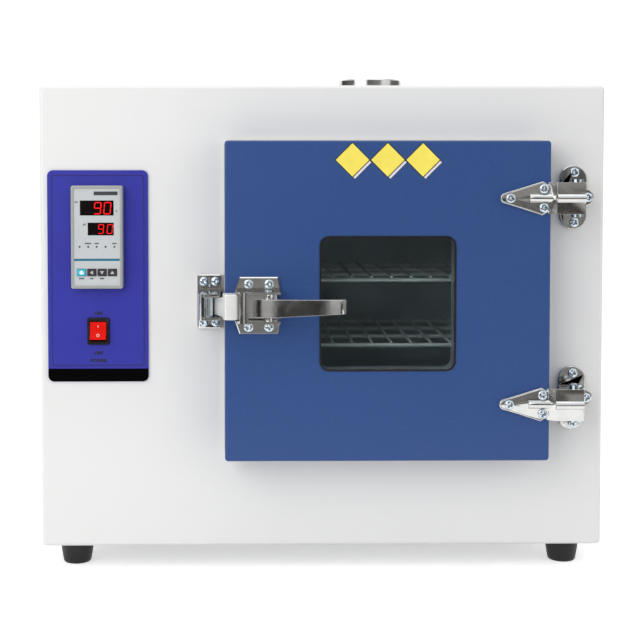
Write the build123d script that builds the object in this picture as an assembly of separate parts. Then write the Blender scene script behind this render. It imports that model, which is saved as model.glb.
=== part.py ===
"""Benchtop hot-air drying oven: sheet-metal cabinet, glazed door, strap hinges and lever latch.

Millimetres, +Z up, the door faces -Y. The origin is under the middle of the whole part's
box, on the surface that the rubber feet stand on.
"""
from build123d import *
import math
import os

# ---------------------------------------------------------------- driving dimensions
# Cabinet
cabinet_width = 530.0
cabinet_height = 435.0
cabinet_depth = 400.0
sheet = 1.2                 # thickness of the painted steel sheet
edge_radius = 4.0           # outer bend radius of the cabinet's edges
panel_rim = 18.0            # depth of the front panel's folded rim
joggle = 9.0                # length of the lip that enters the casing
lower_flange = 56.0         # width of the casing's in-turned lower flanges
rear_flange = 16.0          # width of the casing's in-turned rear flange
base_pan_lip = 14.0         # height of the base pan's upturned edges
cover_inset = 1.0           # margin of the rear cover inside the casing's outline

# Feet
foot_height = 25.5
foot_top_radius = 17.0
foot_base_radius = 14.0
foot_bevel = 2.0
foot_inset_side = 28.0      # foot axis to the cabinet's side
foot_inset_end = 40.0       # foot axis to the cabinet's front and rear
foot_recess_radius = 6.5
foot_recess_depth = 14.0

# Working chamber
chamber_width = 250.0
chamber_height = 250.0
chamber_depth = 250.0
chamber_x = 58.0            # chamber axis to the cabinet's middle plane
chamber_rise = 234.0        # chamber axis above the cabinet's base
chamber_corner = 10.0
liner_sheet = 1.0           # stainless sheet of the chamber and the door's inner side
liner_flange = 14.0
insulation_thickness = 45.0
partition_gap = 4.0
partition_sheet = 1.0
support_width = 34.0
support_sheet = 1.5
support_offset = 80.0       # support channel axis to the chamber axis

# Shelves and their racks
rail_radius = 2.0
wire_radius = 1.25
shelf_side_gap = 8.0        # side rails' axes inside the chamber's walls
rail_pitch = 65.0
rail_count = 4
wire_margin = 13.05         # outer wires inside the side rails
wire_count = 12
wire_overhang = 3.0
cross_rail_radius = 1.9
shelf_setback = 28.0        # front rail's axis behind the cabinet front
shelf_upper_rise = 250.0
shelf_level_pitch = 31.5    # between the racks' runner levels
shelf_lower_level = 2       # levels between the lower and the upper shelf
rack_levels_above = 2
rack_levels_below = 3
rack_post_depth = 5.4       # flat post, from the wall inwards
rack_post_width = 12.0
runner_offset = 1.2         # runner axis outside the shelf's side rail
rack_post_inset = 22.0      # posts behind the runners' front ends
slide_clearance = 0.3       # between pieces that slide on each other

# Heater, floor plate and temperature probe
heater_radius = 4.0
heater_height = 12.0        # heater axis above the chamber floor
heater_span = 150.0         # between the heater's two legs
heater_bend_radius = 30.0
heater_end_margin = 28.0
floor_plate_height = 24.0
floor_plate_sheet = 1.0
floor_hole_radius = 7.0
floor_hole_pitch = 60.0
floor_hole_rows = 3
probe_radius = 2.0
probe_reach = 55.0          # into the chamber
probe_height = 110.0        # above the chamber axis
probe_depth = 120.0         # behind the cabinet front
probe_nut_flats = 12.0
probe_nut_length = 8.0

# Vent on the roof
vent_depth = 160.0          # vent axis behind the cabinet front
vent_duct_radius = 25.0
vent_duct_wall = 1.0
vent_flange_radius = 44.0
vent_flange_thickness = 2.5
vent_boss_radius = 30.0
vent_boss_height = 10.0
vent_cap_radius = 33.0
vent_cap_roof = 5.0
vent_cap_bevel = 1.5
vent_cap_lift = 0.4         # running gap under and round the cap
vent_hole_radius = 5.5
vent_hole_circle = 19.0
vent_hole_count = 6
vent_hub_radius = 8.0
vent_hub_rise = 1.0         # hub above the cap
thermometer_bore = 5.0      # radius
shaft_clearance = 0.05      # radial clearance of a pivot

# Door
door_width = 298.0
door_height = 294.0
door_rise = 235.5           # door axis above the cabinet's base
door_stand = 36.0           # door's front face in front of the cabinet
door_corner = 3.0
door_edge_round = 2.0
gasket_thickness = 4.0
gasket_proud = 1.5          # gasket beyond the door's edges
gasket_width = 14.0
door_gap = 0.3              # gasket to cabinet when shut
window_width = 125.0
window_height = 124.0
window_corner = 9.0
window_drop = 1.9           # window axis below the door axis
glass_thickness = 4.0
glass_margin = 10.0         # glass beyond the window opening
window_bead = 1.6           # width of the rubber bead round the window
window_bead_proud = 0.6
window_tube_sheet = 1.5

# Strap hinges, both alike
hinge_offset = 94.5         # hinge axis above and below the door axis
pin_x = 232.0
pin_stand = 30.0            # pin axis in front of the cabinet
pin_radius = 4.0
pin_head_radius = 5.5
pin_head_height = 2.4
strap_tip_x = 160.0
strap_tip_radius = 5.0
strap_shoulder_x = 199.0
strap_shoulder_half = 15.5
strap_neck_x = 203.5
strap_neck_half = 12.7
strap_thickness = 3.0
strap_bevel = 1.0
strap_screw_tip_x = 169.3
strap_screw_x = 200.0
strap_screw_half = 8.6
ridge_radius = 4.0
ridge_sink = 1.5            # ridge axis behind the face that it stands on
ridge_start_x = 187.0
hood_start_x = 211.0
hood_ramp = 7.0             # length of the slope from the leaf up to the hood
hood_half = 14.5
hood_wall = 2.2
hood_reach = 5.0            # hood beyond the pin axis
hood_front = 12.0           # hood's inner face in front of the pin axis
cheek_radius = 8.5
bracket_thickness = 3.5
bracket_half_width = 13.0
bracket_half_height = 30.0
bracket_x = 235.0
bracket_lobe_x = 246.5
bracket_lobe_radius = 8.0
bracket_screw_half = 23.5
bracket_screw_x = 236.0
bracket_side_screw_x = 249.0
lug_half = 11.8
lug_radius = 7.0
lug_stem_half = 4.5

# Lever latch on the door
latch_rise = 232.5
latch_left = -81.5
latch_right = -40.3
latch_half_height = 26.0
latch_plate = 4.0
latch_taper = 4.0           # how far the plate's corners are cut in
latch_channel_half = 14.1   # outer half width of the channel
latch_channel_wall = 2.0
latch_channel_height = 27.0
latch_roof_x = -69.0        # the roof over the bolt ends here
latch_roof = 2.2
latch_dome_radius = 11.0
latch_screw_left = -69.2
latch_screw_right = -50.6
latch_screw_half = 19.6
pivot_x = -50.9
pivot_stand = 20.0          # lever pivot in front of the door
pivot_radius = 2.2
pivot_boss_radius = 4.2
pivot_head_radius = 3.4
pivot_head_height = 1.2
lever_root_x = -65.5
lever_tip_x = 16.0
lever_root_half = 8.0
lever_tip_half = 6.2
lever_tip_rise = 4.4        # tip's middle above the pivot's middle
lever_thickness = 4.0
lever_tip_stand = 57.0      # lever's front at the tip, in front of the door
lever_root_stand = 28.5
lever_hub_radius = 6.0
lever_hook = 7.0            # length of the turned-in tip
lever_finger_half = 4.0
lever_finger_width = 6.0
bolt_travel_radius = 14.7   # pivot axis to the middle of the bolt's plate
bolt_plate = 5.0
bolt_half = 11.6
bolt_head_left = -92.5
bolt_head_right = -74.0
bolt_head_stand = 20.0
bolt_nose_half = 8.0
bolt_nose_left = -100.2
bolt_nose_front = 15.0
bolt_nose_back = 6.0
bolt_window_half = 5.0      # room for the finger's turn
bolt_web = 2.4              # metal on the far side of the window
bolt_clearance = 0.5

# Roller strike on the cabinet
strike_left = -117.4
strike_right = -93.6
strike_half_height = 25.5
strike_plate = 4.0
strike_ear_left = -114.5
strike_ear_right = -95.0
strike_ear_half = 12.0
strike_ear_wall = 2.9
strike_stand = 55.0
strike_web = 3.0            # wall behind the roller, on the side away from the door
strike_top_round = 7.0
strike_screw_left = -111.0
strike_screw_right = -100.2
strike_screw_half = 19.0
roller_x = -106.0
roller_stand = 48.0         # roller axis in front of the cabinet
roller_radius = 4.75
roller_end_gap = 0.4
roller_pin_radius = 2.0

# Control panel
fascia_margin = 7.5         # fascia inside the cabinet's left side
fascia_width = 94.0
fascia_bottom_rise = 157.0
fascia_height = 198.5
fascia_thickness = 1.6
fascia_corner = 5.5
controller_inset = 47.1     # controller axis from the fascia's left edge
controller_rise = 293.2
controller_width = 48.0
controller_height = 96.0
controller_stand = 9.0      # bezel in front of the fascia
controller_case_width = 44.0
controller_case_height = 91.0
controller_case_depth = 72.0
controller_corner = 2.0
face_width = 43.0
face_height = 90.5
face_recess = 0.8
face_thickness = 2.0
face_pocket = 6.0
measured_reach = 15.5       # window's left edge from the controller axis
measured_bottom_rise = 313.5
measured_width = 31.2
measured_height = 13.9
setting_reach = 8.3
setting_bottom_rise = 295.0
setting_width = 24.0
setting_height = 11.8
lens_proud = 0.3
key_width = 8.0
key_height = 6.4
key_pitch = 9.57
key_rise = 260.4
key_proud = 1.2
key_depth = 3.2
key_collar = 0.8
key_collar_depth = 1.0
key_clearance = 0.35
rocker_inset = 47.3
rocker_rise = 204.6
rocker_bezel_width = 20.6
rocker_bezel_height = 25.4
rocker_bezel_stand = 2.4
rocker_case_width = 18.6
rocker_case_height = 22.0
rocker_case_depth = 24.0
rocker_width = 15.0
rocker_half_height = 8.3
rocker_end_proud = 3.2
rocker_dip = 1.2
rocker_back = 5.0
rocker_side_gap = 0.35
rocker_end_gap = 1.2
rocker_tilt = 12.0          # degrees each way from level
rocker_stub_radius = 1.2
rocker_stub_length = 1.0

# Electrical pieces in the control space
relay_width = 45.0
relay_height = 58.0
relay_depth = 23.0
relay_rise = 102.0
relay_y_offset = 250.0      # behind the cabinet front
terminal_pitch = 10.0
terminal_count = 6
terminal_depth = 22.0
terminal_height = 20.0
terminal_y_offset = 330.0
terminal_inset = 75.0       # terminal block's middle from the cabinet's left side
terminal_slot = 6.0
gland_inset = 65.0
gland_rise = 44.0
gland_bore = 4.0            # radius
gland_stem_radius = 7.0
gland_stem_length = 9.0
gland_flats = 19.0
gland_hex = 6.0
gland_cap_radius = 8.0
gland_cap_tip_radius = 6.2
gland_cap = 12.0
gland_nut_length = 4.0

# Rear cover's air slots
slot_length = 62.0
slot_height = 4.0
slot_pitch = 13.0
slot_count = 8
slot_column_reach = 185.0   # outer columns of slots from the middle one
slot_bottom_rise = 232.0

# Screws
screw_head_radius = 4.4
screw_head_height = 2.4
screw_crown_radius = 3.0
screw_radius = 1.9
screw_length = 8.0
screw_hole_clearance = 0.1

# ---------------------------------------------------------------- places that follow
door_face_reach = door_stand + lever_tip_stand
gland_reach = gland_hex + gland_cap
front_y = (door_face_reach - cabinet_depth - gland_reach) / 2
rear_y = front_y + cabinet_depth
casing_y = front_y + panel_rim
cover_y = rear_y - sheet
base_z = foot_height
chamber_z = base_z + chamber_rise
shelf_upper_z = base_z + shelf_upper_rise
door_z = base_z + door_rise
latch_z = base_z + latch_rise
fascia_bottom = base_z + fascia_bottom_rise
controller_z = base_z + controller_rise
measured_bottom = base_z + measured_bottom_rise
setting_bottom = base_z + setting_bottom_rise
key_z = base_z + key_rise
rocker_z = base_z + rocker_rise
relay_z = base_z + relay_rise
gland_z = base_z + gland_rise
slot_bottom_z = base_z + slot_bottom_rise
top_z = base_z + cabinet_height
cabinet_z = base_z + cabinet_height / 2
side_x = cabinet_width / 2
fascia_left = fascia_margin - side_x
controller_x = fascia_left + controller_inset
measured_left = controller_x - measured_reach
setting_left = controller_x - setting_reach
rocker_x = fascia_left + rocker_inset
terminal_x = terminal_inset - side_x
gland_x = gland_inset - side_x
pan_z = base_z + sheet
pan_top = pan_z + sheet
panel_back = front_y + sheet

chamber_left = chamber_x - chamber_width / 2
chamber_right = chamber_x + chamber_width / 2
chamber_floor = chamber_z - chamber_height / 2
chamber_roof = chamber_z + chamber_height / 2
chamber_back = panel_back + chamber_depth
slab_bottom = chamber_floor - liner_sheet - insulation_thickness
slab_top = chamber_roof + liner_sheet + insulation_thickness
slab_left = chamber_left - liner_sheet - insulation_thickness
slab_right = chamber_right + liner_sheet + insulation_thickness
slab_front = panel_back + liner_sheet
slab_back = chamber_back + liner_sheet
partition_x = slab_left - partition_gap - partition_sheet

door_x = chamber_x
door_face = front_y - door_stand
door_back = front_y - door_gap - gasket_thickness
door_liner_front = door_back - liner_sheet
window_z = door_z - window_drop
glass_front = door_face + sheet
inner_glass_front = door_liner_front - glass_thickness

pin_y = front_y - pin_stand
hinge_heights = {"upper": door_z + hinge_offset, "lower": door_z - hinge_offset}
latch_top_y = door_face - latch_channel_height
pivot_y = door_face - pivot_stand
bolt_y = pivot_y + bolt_travel_radius
bolt_right = pivot_x + bolt_window_half + bolt_web
roller_y = front_y - roller_stand
vent_y = front_y + vent_depth
fascia_x = fascia_left + fascia_width / 2
fascia_z = fascia_bottom + fascia_height / 2
fascia_face = front_y - fascia_thickness
bezel_face = fascia_face - controller_stand
face_front = bezel_face + face_recess
rocker_face = fascia_face - rocker_bezel_stand
rail_x = chamber_width / 2 - shelf_side_gap
wire_pitch = 2 * (rail_x - wire_margin) / (wire_count - 1)
shelf_front = front_y + shelf_setback
shelf_back = shelf_front + rail_pitch * (rail_count - 1)


# ---------------------------------------------------------------- helpers
def block(x_ends, y_ends, z_ends):
    """A box between two places along each axis."""
    (x0, x1), (y0, y1), (z0, z1) = x_ends, y_ends, z_ends
    centre = Pos((x0 + x1) / 2, (y0 + y1) / 2, (z0 + z1) / 2)
    return centre * Box(abs(x1 - x0), abs(y1 - y0), abs(z1 - z0))


def front_slab(sketch, y_front, y_back):
    """A sketch drawn in X and Z, made solid from y_front to y_back."""
    plane = Plane(origin=(0, y_back, 0), x_dir=(1, 0, 0), z_dir=(0, -1, 0))
    return extrude(plane * sketch, amount=y_back - y_front)


def plate(x, z, width, height, radius, y_front, y_back):
    """An upright plate with rounded corners."""
    return front_slab(Pos(x, z) * RectangleRounded(width, height, radius), y_front, y_back)


def top_slab(sketch, z_bottom, z_top):
    """A sketch drawn in X and Y, made solid from z_bottom to z_top."""
    return extrude(Plane.XY.offset(z_bottom) * sketch, amount=z_top - z_bottom)


def rod_x(x_ends, y, z, radius):
    """A round bar along X."""
    x0, x1 = x_ends
    return Pos((x0 + x1) / 2, y, z) * Rot(0, 90, 0) * Cylinder(radius, abs(x1 - x0))


def rod_y(x, y_ends, z, radius):
    """A round bar along Y."""
    y0, y1 = y_ends
    return Pos(x, (y0 + y1) / 2, z) * Rot(90, 0, 0) * Cylinder(radius, abs(y1 - y0))


def rod_z(x, y, z_ends, radius):
    """A round bar along Z."""
    z0, z1 = z_ends
    return Pos(x, y, (z0 + z1) / 2) * Cylinder(radius, abs(z1 - z0))


def pattern(places, sketch):
    """One sketch repeated at many places."""
    return Sketch() + [place * sketch for place in places]


def save(name, shape):
    """Write one named piece."""
    export_step(shape, f"parts/{name}.step")


def front_screws(places, seat_y):
    """Pan-head screws along +Y, their heads seated on seat_y."""
    screws = []
    for x, z in places:
        head = Cone(screw_head_radius, screw_crown_radius, screw_head_height)
        head = Pos(x, seat_y - screw_head_height / 2, z) * Rot(90, 0, 0) * head
        shank = rod_y(x, (seat_y, seat_y + screw_length), z, screw_radius)
        screws.append(head + shank)
    return Compound(children=[Part() + screw for screw in screws])


def front_holes(places, y_ends):
    """Clearance holes for the screws at these places."""
    radius = screw_radius + screw_hole_clearance
    return [rod_y(x, y_ends, z, radius) for x, z in places]


# ---------------------------------------------------------------- screw places
bracket_screws = []
strap_screws = []
for hinge_z in hinge_heights.values():
    bracket_screws += [(bracket_screw_x, hinge_z + bracket_screw_half)]
    bracket_screws += [(bracket_screw_x, hinge_z - bracket_screw_half)]
    bracket_screws += [(bracket_side_screw_x, hinge_z)]
    strap_screws += [(strap_screw_tip_x, hinge_z)]
    strap_screws += [(strap_screw_x, hinge_z + strap_screw_half)]
    strap_screws += [(strap_screw_x, hinge_z - strap_screw_half)]
strike_screws = [
    (x, latch_z + side * strike_screw_half)
    for x in (strike_screw_left, strike_screw_right)
    for side in (1, -1)
]
latch_screws = [
    (x, latch_z + side * latch_screw_half)
    for x in (latch_screw_left, latch_screw_right)
    for side in (1, -1)
]
cover_screw_x = side_x - sheet - rear_flange / 2
cover_screw_z = cabinet_height / 2 - sheet - rear_flange / 2
cover_screws = [
    (column * cover_screw_x, cabinet_z + row * cover_screw_z)
    for column in (-1, 0, 1)
    for row in (-1, 0, 1)
    if column or row
]
foot_places = {
    "front_left": (foot_inset_side - side_x, front_y + foot_inset_end),
    "front_right": (side_x - foot_inset_side, front_y + foot_inset_end),
    "rear_left": (foot_inset_side - side_x, rear_y - foot_inset_end),
    "rear_right": (side_x - foot_inset_side, rear_y - foot_inset_end),
}


# ---------------------------------------------------------------- cabinet
def cabinet_outline(inset):
    """The cabinet's section in X and Z, made smaller all round by inset."""
    radius = max(edge_radius - inset, sheet / 2)
    size = RectangleRounded(cabinet_width - 2 * inset, cabinet_height - 2 * inset, radius)
    return Pos(0, cabinet_z) * size


def outer_casing():
    """Wrapped sheet: roof, sides, lower flanges for the feet and a rear flange for the cover."""
    body = front_slab(cabinet_outline(0), casing_y, cover_y)
    body -= front_slab(cabinet_outline(sheet), casing_y, cover_y - sheet)
    opening = Pos(0, cabinet_z) * Rectangle(
        cabinet_width - 2 * (sheet + rear_flange), cabinet_height - 2 * (sheet + rear_flange)
    )
    body -= front_slab(opening, casing_y, cover_y)
    gap = side_x - lower_flange
    body -= block((-gap, gap), (casing_y, cover_y - sheet), (base_z, base_z + sheet))
    body -= rod_z(chamber_x, vent_y, (top_z - sheet, top_z), vent_duct_radius)
    for x, y in foot_places.values():
        body -= rod_z(x, y, (base_z, pan_z), screw_radius + screw_hole_clearance)
    for hole in front_holes(cover_screws, (cover_y - sheet, cover_y)):
        body -= hole
    return body


def front_panel():
    """Folded tray with the chamber opening, the instrument cut-outs and a lip for the casing."""
    body = front_slab(cabinet_outline(0), front_y, casing_y)
    rim = body.faces().sort_by(Axis.Y)[0].edges()
    body = fillet(rim, edge_radius - sheet / 2)
    body -= front_slab(cabinet_outline(sheet), panel_back, casing_y)
    lip = cabinet_outline(sheet) - cabinet_outline(2 * sheet)
    body += front_slab(lip, casing_y - joggle, casing_y + joggle)
    body -= plate(
        chamber_x, chamber_z, chamber_width, chamber_height, chamber_corner, front_y, panel_back
    )
    body -= plate(
        controller_x, controller_z, controller_case_width, controller_case_height,
        controller_corner, front_y, panel_back
    )
    body -= plate(
        rocker_x, rocker_z, rocker_case_width, rocker_case_height, controller_corner,
        front_y, panel_back
    )
    for hole in front_holes(bracket_screws + strike_screws, (front_y, panel_back)):
        body -= hole
    return body


def base_pan():
    """Tray on the casing's lower flanges, between the front lip and the rear flange."""
    half = side_x - edge_radius
    y_ends = (casing_y + joggle + slide_clearance, cover_y - sheet - slide_clearance)
    body = block((-half, half), y_ends, (pan_z, pan_z + base_pan_lip))
    inner = half - sheet
    hollow = block(
        (-inner, inner), (y_ends[0] + sheet, y_ends[1] - sheet), (pan_top, pan_z + base_pan_lip)
    )
    body -= hollow
    for x, y in foot_places.values():
        body -= rod_z(x, y, (pan_z, pan_top), screw_radius + screw_hole_clearance)
    for hole in front_holes(cover_screws, (y_ends[1] - sheet, y_ends[1])):
        body -= hole
    return body


def rear_cover():
    """Flat cover with air slots in three columns and the cable gland's hole."""
    width = cabinet_width - 2 * cover_inset
    height = cabinet_height - 2 * cover_inset
    body = plate(0, cabinet_z, width, height, edge_radius - cover_inset, cover_y, rear_y)
    for column_x in (-slot_column_reach, 0, slot_column_reach):
        for row in range(slot_count):
            slot = Rectangle(slot_length, slot_height)
            slot_z = slot_bottom_z + row * slot_pitch
            body -= front_slab(Pos(column_x, slot_z) * slot, cover_y, rear_y)
    body -= rod_y(gland_x, (cover_y, rear_y), gland_z, gland_stem_radius)
    for hole in front_holes(cover_screws, (cover_y, rear_y)):
        body -= hole
    return body


def rear_cover_screws():
    """The cover's screws, put in from the rear."""
    return Rot(0, 0, 180) * front_screws([(-x, z) for x, z in cover_screws], -rear_y)


def foot():
    """Tapered rubber foot with a recess for its screw, its top at z = foot_height."""
    body = Pos(0, 0, foot_height / 2) * Cone(foot_base_radius, foot_top_radius, foot_height)
    body = chamfer(body.edges().filter_by(GeomType.CIRCLE).sort_by(Axis.Z)[0], foot_bevel)
    body -= rod_z(0, 0, (0, foot_recess_depth), foot_recess_radius)
    body -= rod_z(0, 0, (0, foot_height), screw_radius + screw_hole_clearance)
    return body


def foot_screws():
    """One screw up through each foot, the casing's flange and the base pan."""
    length = pan_top + screw_head_height - foot_recess_depth
    screws = []
    for x, y in foot_places.values():
        head_z = foot_recess_depth - screw_head_height
        head = rod_z(x, y, (head_z, foot_recess_depth), screw_head_radius)
        shank = rod_z(x, y, (foot_recess_depth, foot_recess_depth + length), screw_radius)
        screws.append(head + shank)
    return Compound(children=screws)


# ---------------------------------------------------------------- chamber
def chamber_outline(grow):
    """The chamber's section in X and Z, larger all round by grow."""
    shape = RectangleRounded(
        chamber_width + 2 * grow, chamber_height + 2 * grow, chamber_corner + grow
    )
    return Pos(chamber_x, chamber_z) * shape


def heater_terminal_x():
    """The places of the heater's two ends along X."""
    return (chamber_x - heater_span / 2, chamber_x + heater_span / 2)


def chamber_liner():
    """Stainless box, open to the front, with a flange behind the front panel."""
    body = front_slab(chamber_outline(liner_sheet), panel_back, slab_back)
    flange_back = panel_back + liner_sheet
    body += front_slab(chamber_outline(liner_flange), panel_back, flange_back)
    body -= front_slab(chamber_outline(0), panel_back, chamber_back)
    duct_inner = vent_duct_radius - vent_duct_wall
    body -= rod_z(chamber_x, vent_y, (chamber_roof, chamber_roof + liner_sheet), duct_inner)
    for x in heater_terminal_x():
        body -= rod_y(x, (chamber_back, slab_back), chamber_floor + heater_height, heater_radius)
    probe_y = front_y + probe_depth
    probe_z = chamber_z + probe_height
    body -= rod_x((chamber_left - liner_sheet, chamber_left), probe_y, probe_z, probe_radius)
    return body


def insulation():
    """Glass-wool slabs round the chamber: two sides, roof, floor and rear."""
    y_ends = (slab_front, slab_back)
    z_ends = (chamber_floor - liner_sheet, chamber_roof + liner_sheet)
    liner_left = chamber_left - liner_sheet
    liner_right = chamber_right + liner_sheet
    left = block((slab_left, liner_left), y_ends, z_ends)
    right = block((liner_right, slab_right), y_ends, z_ends)
    probe_z = chamber_z + probe_height
    left -= rod_x((slab_left, liner_left), front_y + probe_depth, probe_z, probe_radius)
    for hole in front_holes(strike_screws, (slab_front, front_y + screw_length)):
        left -= hole
    floor = block((slab_left, slab_right), y_ends, (slab_bottom, z_ends[0]))
    roof = block((slab_left, slab_right), y_ends, (z_ends[1], slab_top))
    roof -= rod_z(chamber_x, vent_y, (z_ends[1], slab_top), vent_duct_radius)
    rear_y_ends = (slab_back, slab_back + insulation_thickness)
    rear = block((slab_left, slab_right), rear_y_ends, (slab_bottom, slab_top))
    for x in heater_terminal_x():
        rear -= rod_y(x, rear_y_ends, chamber_floor + heater_height, heater_radius)
    return Compound(children=[left, right, floor, roof, rear])


def partition_wall():
    """Upright sheet between the chamber and the control space."""
    y_ends = (casing_y + joggle + 2 * sheet, cover_y - sheet - slide_clearance - sheet)
    body = block((partition_x, partition_x + partition_sheet), y_ends, (pan_top, top_z - sheet))
    foot_strip = block(
        (partition_x, partition_x + base_pan_lip), y_ends, (pan_top, pan_top + partition_sheet)
    )
    probe_z = chamber_z + probe_height
    ends = (partition_x, partition_x + partition_sheet)
    body -= rod_x(ends, front_y + probe_depth, probe_z, probe_radius)
    return body + foot_strip


def chamber_supports():
    """Two folded channels that carry the chamber above the base pan."""
    supports = []
    for side in (-1, 1):
        x = chamber_x + side * support_offset
        half = support_width / 2
        y_ends = (casing_y + joggle + 2 * sheet, slab_back + insulation_thickness)
        channel = block((x - half, x + half), y_ends, (pan_top, slab_bottom))
        inner = half - support_sheet
        channel -= block((x - inner, x + inner), y_ends, (pan_top, slab_bottom - support_sheet))
        supports.append(channel)
    return Compound(children=supports)


def shelf_rack(side):
    """Ladder on one side wall: two flat posts and a round runner at each level."""
    wall_x = chamber_x + side * chamber_width / 2
    post_x = sorted((wall_x, wall_x - side * rack_post_depth))
    runner_x = chamber_x + side * (rail_x + runner_offset)
    drop = 2 * rail_radius + slide_clearance
    levels = range(-rack_levels_below, rack_levels_above + 1)
    heights = [shelf_upper_z - drop + level * shelf_level_pitch for level in levels]
    post_z = (heights[0] - 3 * rail_radius, heights[-1] + 3 * rail_radius)
    body = Part()
    for post_y in (shelf_front + rack_post_inset, shelf_back - rack_post_inset):
        ends = (post_y - rack_post_width / 2, post_y + rack_post_width / 2)
        body += block(post_x, ends, post_z)
    for height in heights:
        body += rod_y(runner_x, (shelf_front, shelf_back), height, rail_radius)
    return body


def shelf(z):
    """Wire shelf: side rails, cross rails and the lengthwise wires that lie on them."""
    left = chamber_x - rail_x
    right = chamber_x + rail_x
    frame = Part()
    for x in (left, right):
        frame += rod_y(x, (shelf_front - rail_radius, shelf_back + rail_radius), z, rail_radius)
    for index in range(rail_count):
        frame += rod_x((left, right), shelf_front + index * rail_pitch, z, cross_rail_radius)
    wire_z = z + cross_rail_radius + wire_radius
    first = chamber_x - wire_pitch * (wire_count - 1) / 2
    ends = (shelf_front - wire_overhang, shelf_back + wire_overhang)
    wires = [
        rod_y(first + index * wire_pitch, ends, wire_z, wire_radius) for index in range(wire_count)
    ]
    return Compound(children=[*frame.solids(), *wires])


def heater_element():
    """Sheathed heater bent into one wide hairpin, its ends through the rear wall."""
    z = chamber_floor + heater_height
    end_y = slab_back + insulation_thickness + heater_end_margin / 2
    near = panel_back + heater_end_margin
    left, right = heater_terminal_x()
    points = [(left, end_y, z), (left, near, z), (right, near, z), (right, end_y, z)]
    path = FilletPolyline(*points, radius=heater_bend_radius)
    profile = Plane(origin=points[0], z_dir=(0, -1, 0)) * Circle(heater_radius)
    return sweep(profile, path=path)


def floor_plate():
    """Perforated plate over the heater, standing on its folded sides."""
    half_x = chamber_width / 2 - chamber_corner - slide_clearance
    y_ends = (panel_back + heater_end_margin / 4, chamber_back - heater_end_margin / 4)
    top = chamber_floor + floor_plate_height
    body = block((chamber_x - half_x, chamber_x + half_x), y_ends, (chamber_floor, top))
    inner = half_x - floor_plate_sheet
    body -= block(
        (chamber_x - inner, chamber_x + inner), y_ends, (chamber_floor, top - floor_plate_sheet)
    )
    middle_y = (y_ends[0] + y_ends[1]) / 2
    grid = GridLocations(floor_hole_pitch, floor_hole_pitch, floor_hole_rows, floor_hole_rows)
    holes = Pos(chamber_x, middle_y) * pattern(grid, Circle(floor_hole_radius))
    return body - top_slab(holes, top - floor_plate_sheet, top)


def temperature_probe():
    """Sheathed sensor through the side wall, with its nut in the control space."""
    y = front_y + probe_depth
    z = chamber_z + probe_height
    body = rod_x((partition_x - probe_nut_length, chamber_left + probe_reach), y, z, probe_radius)
    nut = extrude(RegularPolygon(probe_nut_flats / 2, 6, major_radius=False), probe_nut_length)
    return body + Pos(partition_x, y, z) * Rot(0, -90, 0) * nut


# ---------------------------------------------------------------- vent
def vent_duct():
    """Stainless tube from the chamber's roof to the cabinet's roof."""
    z_ends = (chamber_roof + liner_sheet, top_z)
    body = rod_z(chamber_x, vent_y, z_ends, vent_duct_radius)
    return body - rod_z(chamber_x, vent_y, z_ends, vent_duct_radius - vent_duct_wall)


def vent_holes(z_bottom, z_top):
    """The ring of air holes shared by the vent's boss and cap."""
    ring = pattern(PolarLocations(vent_hole_circle, vent_hole_count), Circle(vent_hole_radius))
    return top_slab(Pos(chamber_x, vent_y) * ring, z_bottom, z_top)


def vent_flange():
    """Round flange on the roof with a perforated boss and a hub for a thermometer."""
    boss_top = top_z + vent_boss_height
    hub_top = boss_top + vent_cap_lift + vent_cap_roof + vent_hub_rise
    body = rod_z(chamber_x, vent_y, (top_z, top_z + vent_flange_thickness), vent_flange_radius)
    body += rod_z(chamber_x, vent_y, (top_z, boss_top), vent_boss_radius)
    body += rod_z(chamber_x, vent_y, (top_z, hub_top), vent_hub_radius)
    body -= vent_holes(top_z, boss_top)
    return body - rod_z(chamber_x, vent_y, (top_z, hub_top), thermometer_bore)


def vent_cap():
    """Turning cap: it opens the air holes or covers them."""
    boss_top = top_z + vent_boss_height
    under = boss_top + vent_cap_lift
    cap_top = under + vent_cap_roof
    skirt_z = top_z + vent_flange_thickness + vent_cap_lift
    body = rod_z(chamber_x, vent_y, (skirt_z, cap_top), vent_cap_radius)
    rim = body.edges().filter_by(GeomType.CIRCLE).sort_by(Axis.Z)[-1]
    body = chamfer(rim, vent_cap_bevel)
    body -= rod_z(chamber_x, vent_y, (skirt_z, under), vent_boss_radius + vent_cap_lift)
    body -= rod_z(chamber_x, vent_y, (under, cap_top), vent_hub_radius + shaft_clearance)
    return body - vent_holes(under, cap_top)


# ---------------------------------------------------------------- door
def door_outline(inset, radius):
    """The door's outline in X and Z, smaller all round by inset."""
    shape = RectangleRounded(door_width - 2 * inset, door_height - 2 * inset, radius)
    return Pos(door_x, door_z) * shape


def window_outline(grow):
    """The window's outline in X and Z, larger all round by grow."""
    shape = RectangleRounded(
        window_width + 2 * grow, window_height + 2 * grow, window_corner + grow
    )
    return Pos(door_x, window_z) * shape


def door_skin():
    """Painted outer tray of the door with the window opening."""
    body = front_slab(door_outline(0, door_corner), door_face, door_back)
    rim = body.faces().sort_by(Axis.Y)[0].edges()
    body = fillet(rim, door_edge_round)
    body -= front_slab(door_outline(sheet, door_corner - sheet), glass_front, door_back)
    body -= front_slab(window_outline(0), door_face, glass_front)
    for hole in front_holes(strap_screws + latch_screws, (door_face, glass_front)):
        body -= hole
    return body


def door_liner():
    """Stainless inner plate of the door with the inner window opening."""
    body = front_slab(door_outline(sheet, door_corner - sheet), door_liner_front, door_back)
    return body - front_slab(window_outline(0), door_liner_front, door_back)


def door_insulation():
    """Insulation in the door, cut out round the window and the screws."""
    body = front_slab(door_outline(sheet, door_corner - sheet), glass_front, door_liner_front)
    body -= front_slab(window_outline(glass_margin), glass_front, door_liner_front)
    for hole in front_holes(strap_screws + latch_screws, (glass_front, door_face + screw_length)):
        body -= hole
    return body


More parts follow.
